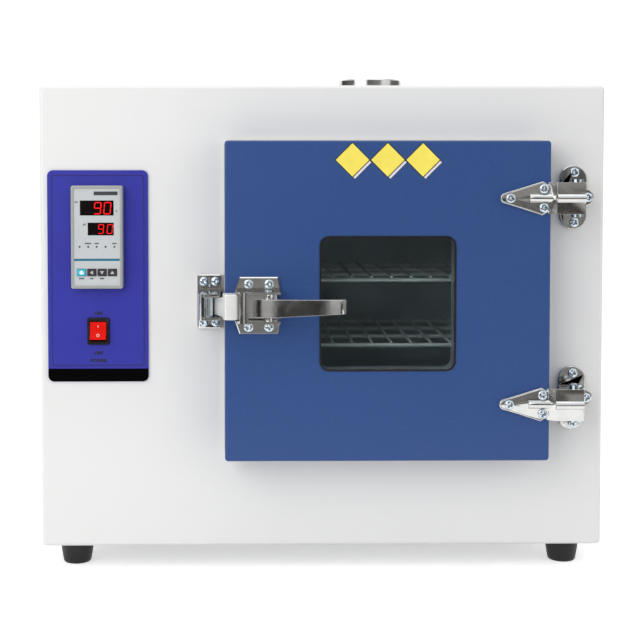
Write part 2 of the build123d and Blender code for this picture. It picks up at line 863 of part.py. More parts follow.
def door_gasket():
    """Silicone seal on the door's rear face, slightly wider than the door."""
    outer = door_outline(-gasket_proud, door_corner + gasket_proud)
    inner = door_outline(gasket_width - gasket_proud, door_corner)
    body = front_slab(outer - inner, door_back, front_y - door_gap)
    rims = body.faces().sort_by(Axis.Y)[-1].edges()
    return chamfer(rims, gasket_proud / 2)


def window_glass(y_front):
    """One pane, wider than the opening by its margin."""
    return front_slab(window_outline(glass_margin), y_front, y_front + glass_thickness)


def window_frame():
    """Folded tube that keeps the two panes apart."""
    y_front = glass_front + glass_thickness
    tube = window_outline(window_tube_sheet)
    ends = window_outline(glass_margin)
    body = front_slab(tube, y_front, inner_glass_front)
    body += front_slab(ends, y_front, y_front + window_tube_sheet)
    body += front_slab(ends, inner_glass_front - window_tube_sheet, inner_glass_front)
    return body - front_slab(window_outline(0), y_front, inner_glass_front)


def window_bead_ring():
    """Rubber bead in the skin's window opening, in front of the outer pane."""
    ring = window_outline(0) - window_outline(-window_bead)
    return front_slab(ring, door_face - window_bead_proud, glass_front)


# ---------------------------------------------------------------- strap hinges
def hinge_bracket(z):
    """Lobed base on the cabinet with the lug that holds the hinge pin."""
    y_ends = (front_y - bracket_thickness, front_y)
    straight = bracket_half_height - bracket_half_width
    lobes = [
        Pos(bracket_x, z + straight) * Circle(bracket_half_width),
        Pos(bracket_x, z - straight) * Circle(bracket_half_width),
        Pos(bracket_lobe_x, z) * Circle(bracket_lobe_radius),
    ]
    outline = Pos(bracket_x, z) * Rectangle(2 * bracket_half_width, 2 * straight)
    outline += lobes
    body = front_slab(outline, *y_ends)
    rim = body.faces().sort_by(Axis.Y)[0].edges()
    body = chamfer(rim, bracket_thickness / 5)
    stem = Pos(pin_x, (pin_y + front_y) / 2) * Rectangle(2 * lug_stem_half, pin_stand)
    lug = stem + Pos(pin_x, pin_y) * Circle(lug_radius)
    flare = Pos(pin_x, front_y - bracket_thickness) * Circle(2 * lug_stem_half)
    flare -= Pos(pin_x, front_y + pin_stand / 2) * Rectangle(2 * cabinet_width, pin_stand)
    body += top_slab(lug + flare, z - lug_half, z + lug_half)
    body -= rod_z(pin_x, pin_y, (z - lug_half, z + lug_half), pin_radius)
    for hole in front_holes(bracket_screws, y_ends):
        body -= hole
    return body


def hinge_pins():
    """One pin for each hinge, with a head outside each cheek of the hood."""
    reach = hood_half + slide_clearance
    pins = []
    for z in hinge_heights.values():
        pin = rod_z(pin_x, pin_y, (z - reach, z + reach), pin_radius)
        for side in (-1, 1):
            ends = sorted((z + side * reach, z + side * (reach + pin_head_height)))
            pin += rod_z(pin_x, pin_y, ends, pin_head_radius)
        pins.append(pin)
    return Compound(children=pins)


def strap_outline():
    """The strap's outline about its own axis: pointed leaf, shoulder, neck and hood."""
    end_x = pin_x + hood_reach
    upper = [
        (strap_shoulder_x, strap_shoulder_half),
        (strap_neck_x, strap_neck_half),
        (hood_start_x - strap_thickness, strap_neck_half),
        (hood_start_x, hood_half),
        (end_x, hood_half),
    ]
    slope = math.atan2(strap_shoulder_half - strap_tip_radius, strap_shoulder_x - strap_tip_x)
    start = (
        strap_tip_x + strap_tip_radius * (1 - math.sin(slope)), strap_tip_radius * math.cos(slope)
    )
    points = [start] + upper + [(x, -y) for x, y in reversed(upper)] + [(start[0], -start[1])]
    leaf = make_face(Polyline(*points, close=True).edges())
    return leaf + Pos(strap_tip_x + strap_tip_radius, 0) * Circle(strap_tip_radius)


def ridge(x_ends, face_y, z):
    """Half-round rib along X that stands on a face."""
    bar = rod_x(x_ends, face_y + ridge_sink, z, ridge_radius)
    return bar & block(x_ends, (face_y - ridge_radius, face_y), (z - ridge_radius, z + ridge_radius))


def hinge_strap(z):
    """Cast strap: leaf on the door, centre ridge, and a hood with two bored cheeks."""
    front = door_face - strap_thickness
    body = front_slab(Pos(0, z) * strap_outline(), front, door_face)
    rim = body.faces().sort_by(Axis.Y)[0].edges()
    body = chamfer(rim, strap_bevel)
    end_x = pin_x + hood_reach
    hood_outer = pin_y - hood_front - hood_wall
    hood_inner = hood_outer + hood_wall
    cap = Polyline(
        (hood_start_x - hood_ramp, front + strap_bevel), (hood_start_x, hood_outer),
        (end_x, hood_outer), (end_x, hood_inner), (hood_start_x + strap_thickness, hood_inner),
        (hood_start_x + strap_thickness, door_face),
        (hood_start_x - strap_thickness, door_face), close=True
    )
    body -= block((hood_start_x, end_x), (front, door_face), (z - hood_half, z + hood_half))
    body += top_slab(make_face(cap.edges()), z - hood_half, z + hood_half)
    cheek = Polyline(
        (hood_start_x, hood_outer), (end_x, hood_outer), (end_x, pin_y),
        (pin_x, pin_y + cheek_radius), (hood_start_x, door_face), close=True
    )
    cheek = make_face(cheek.edges()) + Pos(pin_x, pin_y) * Circle(cheek_radius)
    for side in (-1, 1):
        ends = sorted((z + side * hood_half, z + side * (hood_half - hood_wall)))
        body += top_slab(cheek, *ends)
    body += ridge((ridge_start_x, hood_start_x), front, z)
    body += ridge((hood_start_x, end_x), hood_outer, z)
    bore = (z - hood_half, z + hood_half)
    body -= rod_z(pin_x, pin_y, bore, pin_radius + shaft_clearance)
    for hole in front_holes(strap_screws, (front, door_face)):
        body -= hole
    return body


# ---------------------------------------------------------------- lever latch
def latch_body():
    """Cast base with tapered flanges and the channel that holds the bolt and the lever."""
    left, right, half = latch_left, latch_right, latch_half_height
    outline = Polyline(
        (left, latch_channel_half), (left + latch_taper, half), (right - latch_taper / 2, half),
        (right, latch_channel_half), (right, -latch_channel_half),
        (right - latch_taper / 2, -half), (left + latch_taper, -half),
        (left, -latch_channel_half), close=True
    )
    plate_front = door_face - latch_plate
    body = front_slab(Pos(0, latch_z) * make_face(outline.edges()), plate_front, door_face)
    body = chamfer(body.faces().sort_by(Axis.Y)[0].edges(), latch_plate / 4)
    z_ends = (latch_z - latch_channel_half, latch_z + latch_channel_half)
    channel = block((left, right), (latch_top_y, door_face), z_ends)
    front_left = channel.edges().filter_by(Axis.Z).group_by(Axis.Y)[0].sort_by(Axis.X)[0]
    channel = fillet(front_left, latch_dome_radius)
    body += channel
    inner = latch_channel_half - latch_channel_wall
    inner_z = (latch_z - inner, latch_z + inner)
    floor_y = bolt_y + bolt_plate / 2 + bolt_clearance
    body -= block((left, right), (latch_top_y + latch_roof, floor_y), inner_z)
    body -= block((latch_roof_x, right), (latch_top_y, floor_y), inner_z)
    boss_reach = lever_root_half + slide_clearance
    for side in (-1, 1):
        ends = sorted((latch_z + side * boss_reach, latch_z + side * latch_channel_half))
        body += rod_z(pivot_x, pivot_y, ends, pivot_boss_radius)
    body -= rod_z(pivot_x, pivot_y, z_ends, pivot_radius)
    for hole in front_holes(latch_screws, (plate_front, door_face)):
        body -= hole
    return body


def latch_pin():
    """Lever pivot pin with a head on each side of the channel."""
    body = rod_z(
        pivot_x, pivot_y, (latch_z - latch_channel_half, latch_z + latch_channel_half), pivot_radius
    )
    for side in (-1, 1):
        reach = latch_channel_half + pivot_head_height
        ends = sorted((latch_z + side * latch_channel_half, latch_z + side * reach))
        body += rod_z(pivot_x, pivot_y, ends, pivot_head_radius)
    return body


def latch_handle():
    """Bowed lever on its hub, with the finger that draws the bolt."""
    root = (lever_root_x, door_face - lever_root_stand)
    knee = (pivot_x + lever_hub_radius, door_face - lever_root_stand - lever_thickness)
    tip = (lever_tip_x, door_face - lever_tip_stand)
    bow = Spline(root, knee, tip, tangents=[(1, 0), (1, -0.25)])
    back = [(x, y + lever_thickness) for x, y in (tip, knee, root)]
    inner = Spline(*back, tangents=[(-1, 0.25), (-1, 0)])
    sides = [Line(tip, back[0]), Line(back[2], root)]
    arm = make_face([*bow.edges(), *sides, *inner.edges()])
    hook_x = (lever_tip_x - lever_thickness / 2, lever_tip_x)
    hook = Pos(sum(hook_x) / 2, tip[1] + lever_hook / 2) * Rectangle(lever_thickness / 2, lever_hook)
    hub = Pos(pivot_x, pivot_y) * Circle(lever_hub_radius)
    neck_top = door_face - lever_root_stand + lever_thickness / 2
    neck = Pos(pivot_x, (pivot_y + neck_top) / 2) * Rectangle(
        2 * lever_hub_radius, abs(neck_top - pivot_y)
    )
    half = lever_root_half
    tip_top = lever_tip_rise + lever_tip_half
    body = top_slab(arm + hook, latch_z - half, latch_z + max(half, tip_top))
    taper = Polyline(
        (lever_root_x, half), (pivot_x + lever_hub_radius, half), (lever_tip_x, tip_top),
        (lever_tip_x, lever_tip_rise - lever_tip_half), (pivot_x + lever_hub_radius, -half),
        (lever_root_x, -half), close=True
    )
    span = (door_face - 2 * lever_tip_stand, door_face)
    body &= front_slab(Pos(0, latch_z) * make_face(taper.edges()), *span)
    body += top_slab(hub + neck, latch_z - half, latch_z + half)
    finger_x = (pivot_x - lever_finger_width / 2, pivot_x + lever_finger_width / 2)
    finger_y = (pivot_y, bolt_y + bolt_plate / 2)
    finger_z = (latch_z - lever_finger_half, latch_z + lever_finger_half)
    body += block(finger_x, finger_y, finger_z)
    return body - rod_z(pivot_x, pivot_y, (latch_z - half, latch_z + half), pivot_radius + shaft_clearance)


def latch_bolt():
    """Spring bolt: a plate with the finger's window, a broad head and a nose for the roller."""
    plate_y = (bolt_y - bolt_plate / 2, bolt_y + bolt_plate / 2)
    z_ends = (latch_z - bolt_half, latch_z + bolt_half)
    head_y = door_face - bolt_head_stand
    profile = Polyline(
        (bolt_head_left, plate_y[1]), (bolt_right, plate_y[1]), (bolt_right, plate_y[0]),
        (bolt_head_right, plate_y[0]), (bolt_head_right - bolt_plate, head_y),
        (bolt_head_left + bolt_plate / 2, head_y), (bolt_head_left, head_y + bolt_plate), close=True
    )
    body = top_slab(make_face(profile.edges()), *z_ends)
    nose_front = door_face - bolt_nose_front
    nose_back = door_face - bolt_nose_back
    nose = Polyline(
        (bolt_head_left, nose_front), (bolt_head_left, nose_back), (bolt_nose_left, nose_back),
        (bolt_nose_left, nose_back - bolt_plate / 2), close=True
    )
    body += top_slab(make_face(nose.edges()), latch_z - bolt_nose_half, latch_z + bolt_nose_half)
    window_z_half = lever_finger_half + slide_clearance
    return body - block(
        (pivot_x - bolt_window_half, pivot_x + bolt_window_half), plate_y,
        (latch_z - window_z_half, latch_z + window_z_half)
    )


def strike_body():
    """Cast strike: base plate, rear web and the two ears that carry the roller."""
    plate_front = front_y - strike_plate
    middle = (strike_left + strike_right) / 2
    body = plate(
        middle, latch_z, strike_right - strike_left, 2 * strike_half_height, strike_plate / 2,
        plate_front, front_y
    )
    body = chamfer(body.faces().sort_by(Axis.Y)[0].edges(), strike_plate / 4)
    top_y = front_y - strike_stand
    z_ends = (latch_z - strike_ear_half, latch_z + strike_ear_half)
    tower = block((strike_ear_left, strike_ear_right), (top_y, front_y), z_ends)
    tops = tower.edges().filter_by(Axis.Z).group_by(Axis.Y)[0].sort_by(Axis.X)
    tower = fillet(tops[0], strike_top_round)
    inner = strike_ear_half - strike_ear_wall
    hollow_x = (strike_ear_left + strike_web, strike_ear_right)
    tower -= block(hollow_x, (top_y, plate_front), (latch_z - inner, latch_z + inner))
    body += tower
    body -= rod_z(roller_x, roller_y, z_ends, roller_pin_radius)
    for hole in front_holes(strike_screws, (plate_front, front_y)):
        body -= hole
    return body


def strike_roller():
    """Hard roller that turns on its pin between the strike's ears."""
    half = strike_ear_half - strike_ear_wall - roller_end_gap
    z_ends = (latch_z - half, latch_z + half)
    body = rod_z(roller_x, roller_y, z_ends, roller_radius)
    body = chamfer(body.edges().filter_by(GeomType.CIRCLE), roller_end_gap)
    return body - rod_z(roller_x, roller_y, z_ends, roller_pin_radius + shaft_clearance)


def strike_pin():
    """Roller pin, flush with the outside of the ears."""
    return rod_z(
        roller_x, roller_y, (latch_z - strike_ear_half, latch_z + strike_ear_half), roller_pin_radius
    )


# ---------------------------------------------------------------- control panel
def control_fascia():
    """Printed front plate of the controls with cut-outs for the controller and the switch."""
    body = plate(
        fascia_x, fascia_z, fascia_width, fascia_height, fascia_corner, fascia_face, front_y
    )
    body -= plate(
        controller_x, controller_z, controller_case_width, controller_case_height,
        controller_corner, fascia_face, front_y
    )
    return body - plate(
        rocker_x, rocker_z, rocker_case_width, rocker_case_height, controller_corner,
        fascia_face, front_y
    )


def key_places():
    """The four keys' centres along X, from left to right."""
    first = controller_x - 1.5 * key_pitch
    names = ("key_set", "key_shift", "key_down", "key_up")
    return {name: first + index * key_pitch for index, name in enumerate(names)}


def controller_housing():
    """Bezel in front of the fascia and the case that reaches back through the panel."""
    body = plate(
        controller_x, controller_z, controller_width, controller_height, controller_corner,
        bezel_face, fascia_face
    )
    body = chamfer(body.faces().sort_by(Axis.Y)[0].edges(), face_recess)
    case_back = fascia_face + controller_case_depth
    body += plate(
        controller_x, controller_z, controller_case_width, controller_case_height,
        controller_corner, fascia_face, case_back
    )
    pocket_back = face_front + face_thickness + face_pocket
    body -= plate(
        controller_x, controller_z, face_width, face_height, controller_corner / 2,
        bezel_face, face_front + face_thickness
    )
    ledge = 2 * controller_corner
    return body - plate(
        controller_x, controller_z, face_width - ledge, face_height - ledge,
        controller_corner / 2, face_front, pocket_back
    )


def controller_face():
    """Front plate of the controller with the display windows and the keys' holes."""
    back = face_front + face_thickness
    body = plate(
        controller_x, controller_z, face_width, face_height, controller_corner / 2, face_front, back
    )
    for window in display_boxes(face_front, back):
        body -= window
    for key_x in key_places().values():
        body -= plate(
            key_x, key_z, key_width + 2 * key_clearance, key_height + 2 * key_clearance,
            key_clearance, face_front, back
        )
    return body


def display_boxes(y_front, y_back):
    """The measured-value and set-value windows as plain boxes."""
    windows = (
        (measured_left, measured_width, measured_bottom, measured_height),
        (setting_left, setting_width, setting_bottom, setting_height),
    )
    return [
        block((left, left + width), (y_front, y_back), (bottom, bottom + height))
        for left, width, bottom, height in windows
    ]


def display_lenses():
    """Tinted display windows, slightly proud of the face."""
    return Compound(children=display_boxes(face_front - lens_proud, face_front + face_thickness))


def controller_key(x):
    """One key with a collar behind the face plate."""
    front = face_front - key_proud
    body = plate(x, key_z, key_width, key_height, key_clearance, front, front + key_depth + key_proud)
    body = chamfer(body.faces().sort_by(Axis.Y)[0].edges(), key_clearance)
    collar_front = face_front + face_thickness + slide_clearance
    collar_width = key_width + key_collar
    return body + plate(
        x, key_z, collar_width, key_height + 2 * key_collar, key_clearance,
        collar_front, collar_front + key_collar_depth
    )


def rocker_profile(end_gap):
    """The rocker's section in Y and Z at its level position, larger by end_gap at the ends."""
    half = rocker_half_height + end_gap
    front = rocker_face - rocker_end_proud
    dip = front + rocker_dip
    back = rocker_face + rocker_back
    return [(front, half), (dip, 0), (front, -half), (rocker_face, -half), (back, 0), (rocker_face, half)]


def rocker_pivot_y():
    """The rocker's pivot axis, just behind the bezel's face."""
    return rocker_face + rocker_back / 4


def rocker_housing():
    """Snap-in switch body with a bezel, open in front for the rocker."""
    body = plate(
        rocker_x, rocker_z, rocker_bezel_width, rocker_bezel_height, controller_corner,
        rocker_face, fascia_face
    )
    body = chamfer(body.faces().sort_by(Axis.Y)[0].edges(), face_recess)
    body += plate(
        rocker_x, rocker_z, rocker_case_width, rocker_case_height, controller_corner,
        fascia_face, fascia_face + rocker_case_depth
    )
    half_x = rocker_width / 2 + rocker_side_gap
    half_z = rocker_half_height + rocker_end_gap
    body -= block(
        (rocker_x - half_x, rocker_x + half_x), (rocker_face, rocker_face + 2 * rocker_back),
        (rocker_z - half_z, rocker_z + half_z)
    )
    reach = half_x + rocker_stub_length
    radius = rocker_stub_radius + shaft_clearance
    return body - rod_x((rocker_x - reach, rocker_x + reach), rocker_pivot_y(), rocker_z, radius)


def rocker_switch():
    """Red rocker, resting with its upper half pressed in."""
    points = [(y, rocker_z + z) for y, z in rocker_profile(0)]
    outline = make_face(Polyline(*points, close=True).edges())
    body = extrude(Plane.YZ.offset(rocker_x - rocker_width / 2) * outline, amount=rocker_width)
    reach = rocker_width / 2 + rocker_side_gap + rocker_stub_length * 0.8
    body += rod_x((rocker_x - reach, rocker_x + reach), rocker_pivot_y(), rocker_z, rocker_stub_radius)
    pivot = Axis((rocker_x, rocker_pivot_y(), rocker_z), (1, 0, 0))
    return body.rotate(pivot, -rocker_tilt)


# ---------------------------------------------------------------- control space
def solid_state_relay():
    """Relay with two mounting notches, screwed to the partition wall."""
    y = front_y + relay_y_offset
    x_ends = (partition_x - relay_depth, partition_x)
    half_y = relay_width / 2
    half_z = relay_height / 2
    body = block(x_ends, (y - half_y, y + half_y), (relay_z - half_z, relay_z + half_z))
    body = chamfer(body.edges().filter_by(Axis.Y).group_by(Axis.X)[0], relay_depth / 5)
    for side in (-1, 1):
        body -= rod_x(x_ends, y, relay_z + side * half_z, relay_depth / 8)
    return body


def terminal_block():
    """Row of terminals with a slot above each screw."""
    half = terminal_pitch * terminal_count / 2
    y = front_y + terminal_y_offset
    y_ends = (y - terminal_depth / 2, y + terminal_depth / 2)
    x_ends = (terminal_x - half, terminal_x + half)
    body = block(x_ends, y_ends, (pan_top, pan_top + terminal_height))
    for index in range(terminal_count):
        x = x_ends[0] + (index + 0.5) * terminal_pitch
        slot_z = (pan_top + terminal_height / 2, pan_top + terminal_height)
        for ends in ((y_ends[0], y_ends[0] + terminal_slot), (y_ends[1] - terminal_slot, y_ends[1])):
            body -= block((x - terminal_slot / 2, x + terminal_slot / 2), ends, slot_z)
    return body


def hexagon(flats, length):
    """A hexagonal prism along +Z from the origin."""
    return extrude(RegularPolygon(flats / 2, 6, major_radius=False), length)


def cable_gland():
    """Gland body outside the rear cover, with its stem through the cover."""
    stand = Pos(gland_x, rear_y, gland_z) * Rot(-90, 0, 0)
    body = stand * hexagon(gland_flats, gland_hex)
    cap = Pos(0, 0, gland_hex + gland_cap / 2) * Cone(gland_cap_radius, gland_cap_tip_radius, gland_cap)
    body += stand * cap
    stem_front = cover_y - gland_stem_length
    body += rod_y(gland_x, (stem_front, rear_y), gland_z, gland_stem_radius)
    return body - rod_y(gland_x, (stem_front, rear_y + gland_reach), gland_z, gland_bore)


def gland_nut():
    """Hexagonal nut on the gland's stem, inside the cover."""
    stand = Pos(gland_x, cover_y, gland_z) * Rot(90, 0, 0)
    body = stand * hexagon(gland_flats, gland_nut_length)
    return body - rod_y(gland_x, (cover_y - gland_nut_length, cover_y), gland_z, gland_stem_radius)


# ---------------------------------------------------------------- write every piece
def write_all():
    """Write each piece to its own STEP file."""
    os.makedirs("parts", exist_ok=True)
    save("outer_casing", outer_casing())
    save("front_panel", front_panel())
    save("base_pan", base_pan())
    save("rear_cover", rear_cover())
    save("rear_cover_screws", rear_cover_screws())
    for name, (x, y) in foot_places.items():
        save(f"foot_{name}", Pos(x, y, 0) * foot())
    save("foot_screws", foot_screws())
    save("chamber_liner", chamber_liner())
    save("insulation", insulation())
    save("partition_wall", partition_wall())
    save("chamber_supports", chamber_supports())
    save("shelf_rack_left", shelf_rack(-1))
    save("shelf_rack_right", shelf_rack(1))
    save("shelf_upper", shelf(shelf_upper_z))
    save("shelf_lower", shelf(shelf_upper_z - shelf_lower_level * shelf_level_pitch))
    save("heater_element", heater_element())
    save("floor_plate", floor_plate())
    save("temperature_probe", temperature_probe())
    save("vent_duct", vent_duct())
    save("vent_flange", vent_flange())
    save("vent_cap", vent_cap())
    save("door_skin", door_skin())
    save("door_liner", door_liner())
    save("door_insulation", door_insulation())
    save("door_gasket", door_gasket())
    save("window_outer_glass", window_glass(glass_front))
    save("window_inner_glass", window_glass(inner_glass_front))
    save("window_frame", window_frame())
    save("window_bead", window_bead_ring())
    for name, z in hinge_heights.items():
        save(f"hinge_bracket_{name}", hinge_bracket(z))
        save(f"hinge_strap_{name}", hinge_strap(z))
    save("hinge_pins", hinge_pins())
    cabinet_set = front_screws(bracket_screws, front_y - bracket_thickness)
    strike_set = front_screws(strike_screws, front_y - strike_plate)
    save("cabinet_screws", Compound(children=[*cabinet_set.solids(), *strike_set.solids()]))
    strap_set = front_screws(strap_screws, door_face - strap_thickness)
    latch_set = front_screws(latch_screws, door_face - latch_plate)
    save("door_screws", Compound(children=[*strap_set.solids(), *latch_set.solids()]))
    save("latch_body", latch_body())
    save("latch_pin", latch_pin())
    save("latch_handle", latch_handle())
    save("latch_bolt", latch_bolt())
    save("strike_body", strike_body())
    save("strike_roller", strike_roller())
    save("strike_pin", strike_pin())
    save("control_fascia", control_fascia())
    save("controller_housing", controller_housing())
    save("controller_face", controller_face())
    save("display_lenses", display_lenses())
    for name, x in key_places().items():
        save(name, controller_key(x))
    save("rocker_housing", rocker_housing())
    save("rocker_switch", rocker_switch())
    save("solid_state_relay", solid_state_relay())
    save("terminal_block", terminal_block())
    save("cable_gland", cable_gland())
    save("gland_nut", gland_nut())


write_all()
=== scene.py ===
"""Benchtop drying oven: stage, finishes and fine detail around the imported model."""

import math

import bmesh
import bpy
from bpy.props import FloatProperty, FloatVectorProperty, IntProperty, PointerProperty
from mathutils import Matrix, Vector
from mathutils.bvhtree import BVHTree


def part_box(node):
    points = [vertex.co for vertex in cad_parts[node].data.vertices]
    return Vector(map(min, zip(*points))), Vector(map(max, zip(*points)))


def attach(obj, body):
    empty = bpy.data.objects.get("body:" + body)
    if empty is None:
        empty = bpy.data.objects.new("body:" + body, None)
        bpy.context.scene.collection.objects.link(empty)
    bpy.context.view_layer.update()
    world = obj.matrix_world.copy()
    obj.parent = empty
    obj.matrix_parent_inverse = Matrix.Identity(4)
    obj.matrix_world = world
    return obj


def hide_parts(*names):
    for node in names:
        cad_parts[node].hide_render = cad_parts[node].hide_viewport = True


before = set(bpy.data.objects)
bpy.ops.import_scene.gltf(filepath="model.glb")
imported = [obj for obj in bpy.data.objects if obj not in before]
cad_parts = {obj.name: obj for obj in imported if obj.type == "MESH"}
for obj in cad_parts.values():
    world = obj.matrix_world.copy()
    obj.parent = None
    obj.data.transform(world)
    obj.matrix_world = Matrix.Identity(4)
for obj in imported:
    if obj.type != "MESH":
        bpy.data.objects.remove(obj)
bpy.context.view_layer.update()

bl_info = {
    "name": "Benchtop Drying Oven Finish",
    "version": (1, 0, 0),
    "blender": (4, 5, 0),
    "location": "3D View > Sidebar > Oven",
    "description": "Stage, finishes and fine detail for a benchtop drying oven",
    "category": "Object",
}

MM = 0.001
HINGES = ("upper", "lower")
KEYS = ("set", "shift", "down", "up")
CREASE = 32.0  # degrees beyond which two faces meet in a crease


def srgb(red, green, blue):
    """A colour written from 0 to 255, as Blender's linear RGBA."""
    linear = []
    for value in (red, green, blue):
        share = value / 255
        linear.append(share / 12.92 if share <= 0.04045 else ((share + 0.055) / 1.055) ** 2.4)
    return (*linear, 1.0)


def colour(text, default):
    """A colour property."""
    return FloatVectorProperty(
        name=text, description=text, default=default, subtype="COLOR", size=4, min=0.0, max=1.0)


def place(text, millimetres, **limits):
    """A coordinate property, given in millimetres, which may be negative."""
    return FloatProperty(
        name=text, description=text, default=millimetres * MM, unit="LENGTH", precision=5,
        **limits)


def length(text, millimetres):
    """A length property, given in millimetres."""
    return place(text, millimetres, min=0.0)


def number(text, value):
    """A plain number that isn't negative."""
    return FloatProperty(name=text, description=text, default=value, min=0.0)


class OvenSizes(bpy.types.PropertyGroup):
    """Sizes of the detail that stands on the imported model."""

    print_lift: length("How far ink and film stand off what carries them", 0.06)
    edge_break: length("Rounding of metal edges that catch the light", 0.35)
    plastic_break: length("Rounding of moulded edges", 0.25)
    groove_inset: length("Fascia's pressed line from its edge", 3.4)
    groove_width: length("Width of the fascia's pressed line", 1.3)
    groove_corner: length("Corner radius of the pressed line", 3.0)
    foot_well: length("Depth of a foot's screw well", 14.0)
    crown: number("Fall of a strap's face away from its ridge", 0.075)
    band_height: length("Black band along the fascia's foot", 12.2)
    band_gap: length("Pressed line above the black band", 2.4)
    word_height: length("Capitals of the switch's words", 2.9)
    word_weight: length("How much the switch's words are thickened", 0.24)
    tiny_height: length("Capitals on the controller", 1.7)
    digit_stroke: length("Width of a lit bar", 0.98)
    lamp_radius: length("Dots under the readings", 0.95)
    line_height: length("Coloured line across the controller", 2.1)
    label_half: length("Half diagonal of a blank label", 16.3)
    label_edge: length("Dark border of a blank label", 0.75)
    label_strip: length("Pale strip along a label's side", 3.1)
    screw_radius: length("Radius of a pan head", 4.4)
    screw_height: length("Height of a pan head", 2.4)
    recess_depth: length("Depth of a screw's cross recess", 1.9)
    recess_width: length("Half width of a recess arm", 0.85)
    rim_radius: length("Radius of the bead round a hinge strap", 0.9)
    rivet_radius: length("Small rivet in the strike's plate", 1.5)
    camera_distance: length("Camera in front of the cabinet", 1200.0)
    camera_x: place("Camera to the cabinet's middle plane", -60.0)
    camera_z: length("Camera above the floor", 382.5)


class OvenColours(bpy.types.PropertyGroup):
    """Colours of the oven's finishes."""

    body: colour("Cabinet enamel", srgb(236, 236, 235))
    door: colour("Door enamel", srgb(46, 77, 135))
    door_fleck: colour("Sparkle in the door's enamel", srgb(84, 112, 170))
    fascia: colour("Control panel film", srgb(50, 52, 162))
    groove: colour("Pressed line in the film", srgb(32, 26, 112))
    ink: colour("Words on the film", srgb(6, 4, 42))
    band: colour("Black band and switch", srgb(4, 4, 5))
    housing: colour("Bezel round the controller", srgb(164, 166, 162))
    face: colour("Controller's front film", srgb(197, 201, 203))
    lens: colour("Dark tinted window", srgb(10, 2, 3))
    digit: colour("Lit bars of the readings", (0.85, 0.006, 0.006, 1.0))
    lettering: colour("Dark grey print", srgb(54, 56, 64))
    line: colour("Line across the controller", srgb(8, 108, 140))
    key: colour("Black keys", srgb(40, 38, 42))
    key_mark: colour("Arrows on the keys", srgb(188, 188, 190))
    key_set: colour("Set key", srgb(52, 178, 205))
    key_blob: colour("Mark on the set key", srgb(226, 246, 250))
    rocker: colour("Switch rocker", srgb(226, 12, 0))
    rocker_mark: colour("Marks on the rocker", srgb(250, 205, 196))
    label: colour("Blank label", srgb(252, 232, 92))
    label_edge: colour("Label's border", srgb(26, 30, 40))
    label_strip: colour("Label's side strip", srgb(228, 222, 234))
    chrome: colour("Plated hinges and latch", srgb(206, 206, 204))
    bolt: colour("Bright drawn steel of the bolt", srgb(242, 243, 240))
    screw: colour("Bright zinc screws", srgb(196, 207, 214))
    zinc: colour("Plated sheet steel", srgb(168, 172, 176))
    stainless: colour("Chamber, racks and shelves", srgb(204, 211, 219))
    rubber: colour("Feet and window bead", srgb(10, 10, 11))
    silicone: colour("Door gasket", srgb(226, 222, 214))
    wool: colour("Glass wool", srgb(214, 190, 122))
    nylon: colour("Gland, relay and terminals", srgb(38, 39, 41))
    wear: colour("Metal at worn edges", srgb(196, 196, 194))
    dust: colour("Dust on upward faces", srgb(190, 186, 178))


class OvenLights(bpy.types.PropertyGroup):
    """Levels of the stage's light."""

    key: number("Lamp on the left", 14.4)
    fill: number("Lamp on the right", 3.9)
    top: number("Lamp overhead", 5.8)
    sky: number("Level of the surround", 0.57)
    turn: IntProperty(name="Sides of a round detail", default=48, min=12)


# ---- node trees
def add(tree, kind, inputs=None, **settings):
    """A node with its settings, and with values or links for its inputs."""
    node = tree.nodes.new(kind)
    for key, value in settings.items():
        setattr(node, key, value)
    for key, value in (inputs or {}).items():
        if isinstance(value, bpy.types.NodeSocket):
            tree.links.new(value, node.inputs[key])
        else:
            node.inputs[key].default_value = value
    return node


def maths(tree, operation, first, second):
    """The result of one operation on two numbers."""
    return add(tree, "ShaderNodeMath", {0: first, 1: second}, operation=operation).outputs[0]


def remap(tree, value, low, high, to_low=0.0, to_high=1.0):
    """A value carried from one range to another."""
    return add(tree, "ShaderNodeMapRange", {
        "Value": value, "From Min": low, "From Max": high, "To Min": to_low,
        "To Max": to_high}).outputs[0]


def around(tree, value, middle, reach):
    """Noise carried to a middle value, less or more a reach."""
    return remap(tree, value, 0.3, 0.7, maths(tree, "SUBTRACT", middle, reach),
                 maths(tree, "ADD", middle, reach))


def noise(tree, vector, scale, detail, roughness=0.5, distortion=0.0):
    """Noise from 0 to 1."""
    return add(tree, "ShaderNodeTexNoise", {
        "Vector": vector, "Scale": scale, "Detail": detail, "Roughness": roughness,
        "Distortion": distortion}).outputs["Fac"]


def blend(tree, share, first, second, kind="MIX"):
    """Two colours mixed."""
    return add(tree, "ShaderNodeMixRGB", {
        "Fac": share, "Color1": first, "Color2": second}, blend_type=kind).outputs[0]


def effect(name, inputs, output):
    """An empty effect group with named sockets, and its two end nodes."""
    tree = bpy.data.node_groups.new(name, "ShaderNodeTree")
    for side, sockets in (("INPUT", {"Vector": "Vector", **inputs}), ("OUTPUT", output)):
        for socket, kind in sockets.items():
            tree.interface.new_socket(socket, in_out=side, socket_type=f"NodeSocket{kind}")
    return tree, add(tree, "NodeGroupInput").outputs, add(tree, "NodeGroupOutput").inputs


def mottle_group():
    """Slow change of shade across a finish."""
    tree, given, out = effect(
        "Oven Mottle", {"Colour": "Color", "Shade": "Float", "Scale": "Float"},
        {"Colour": "Color"})
    patches = noise(tree, given["Vector"], given["Scale"], 3.0, 0.55)
    shade = around(tree, patches, 1.0, given["Shade"])
    tree.links.new(blend(tree, 1.0, given["Colour"], shade, "MULTIPLY"), out["Colour"])
    return tree


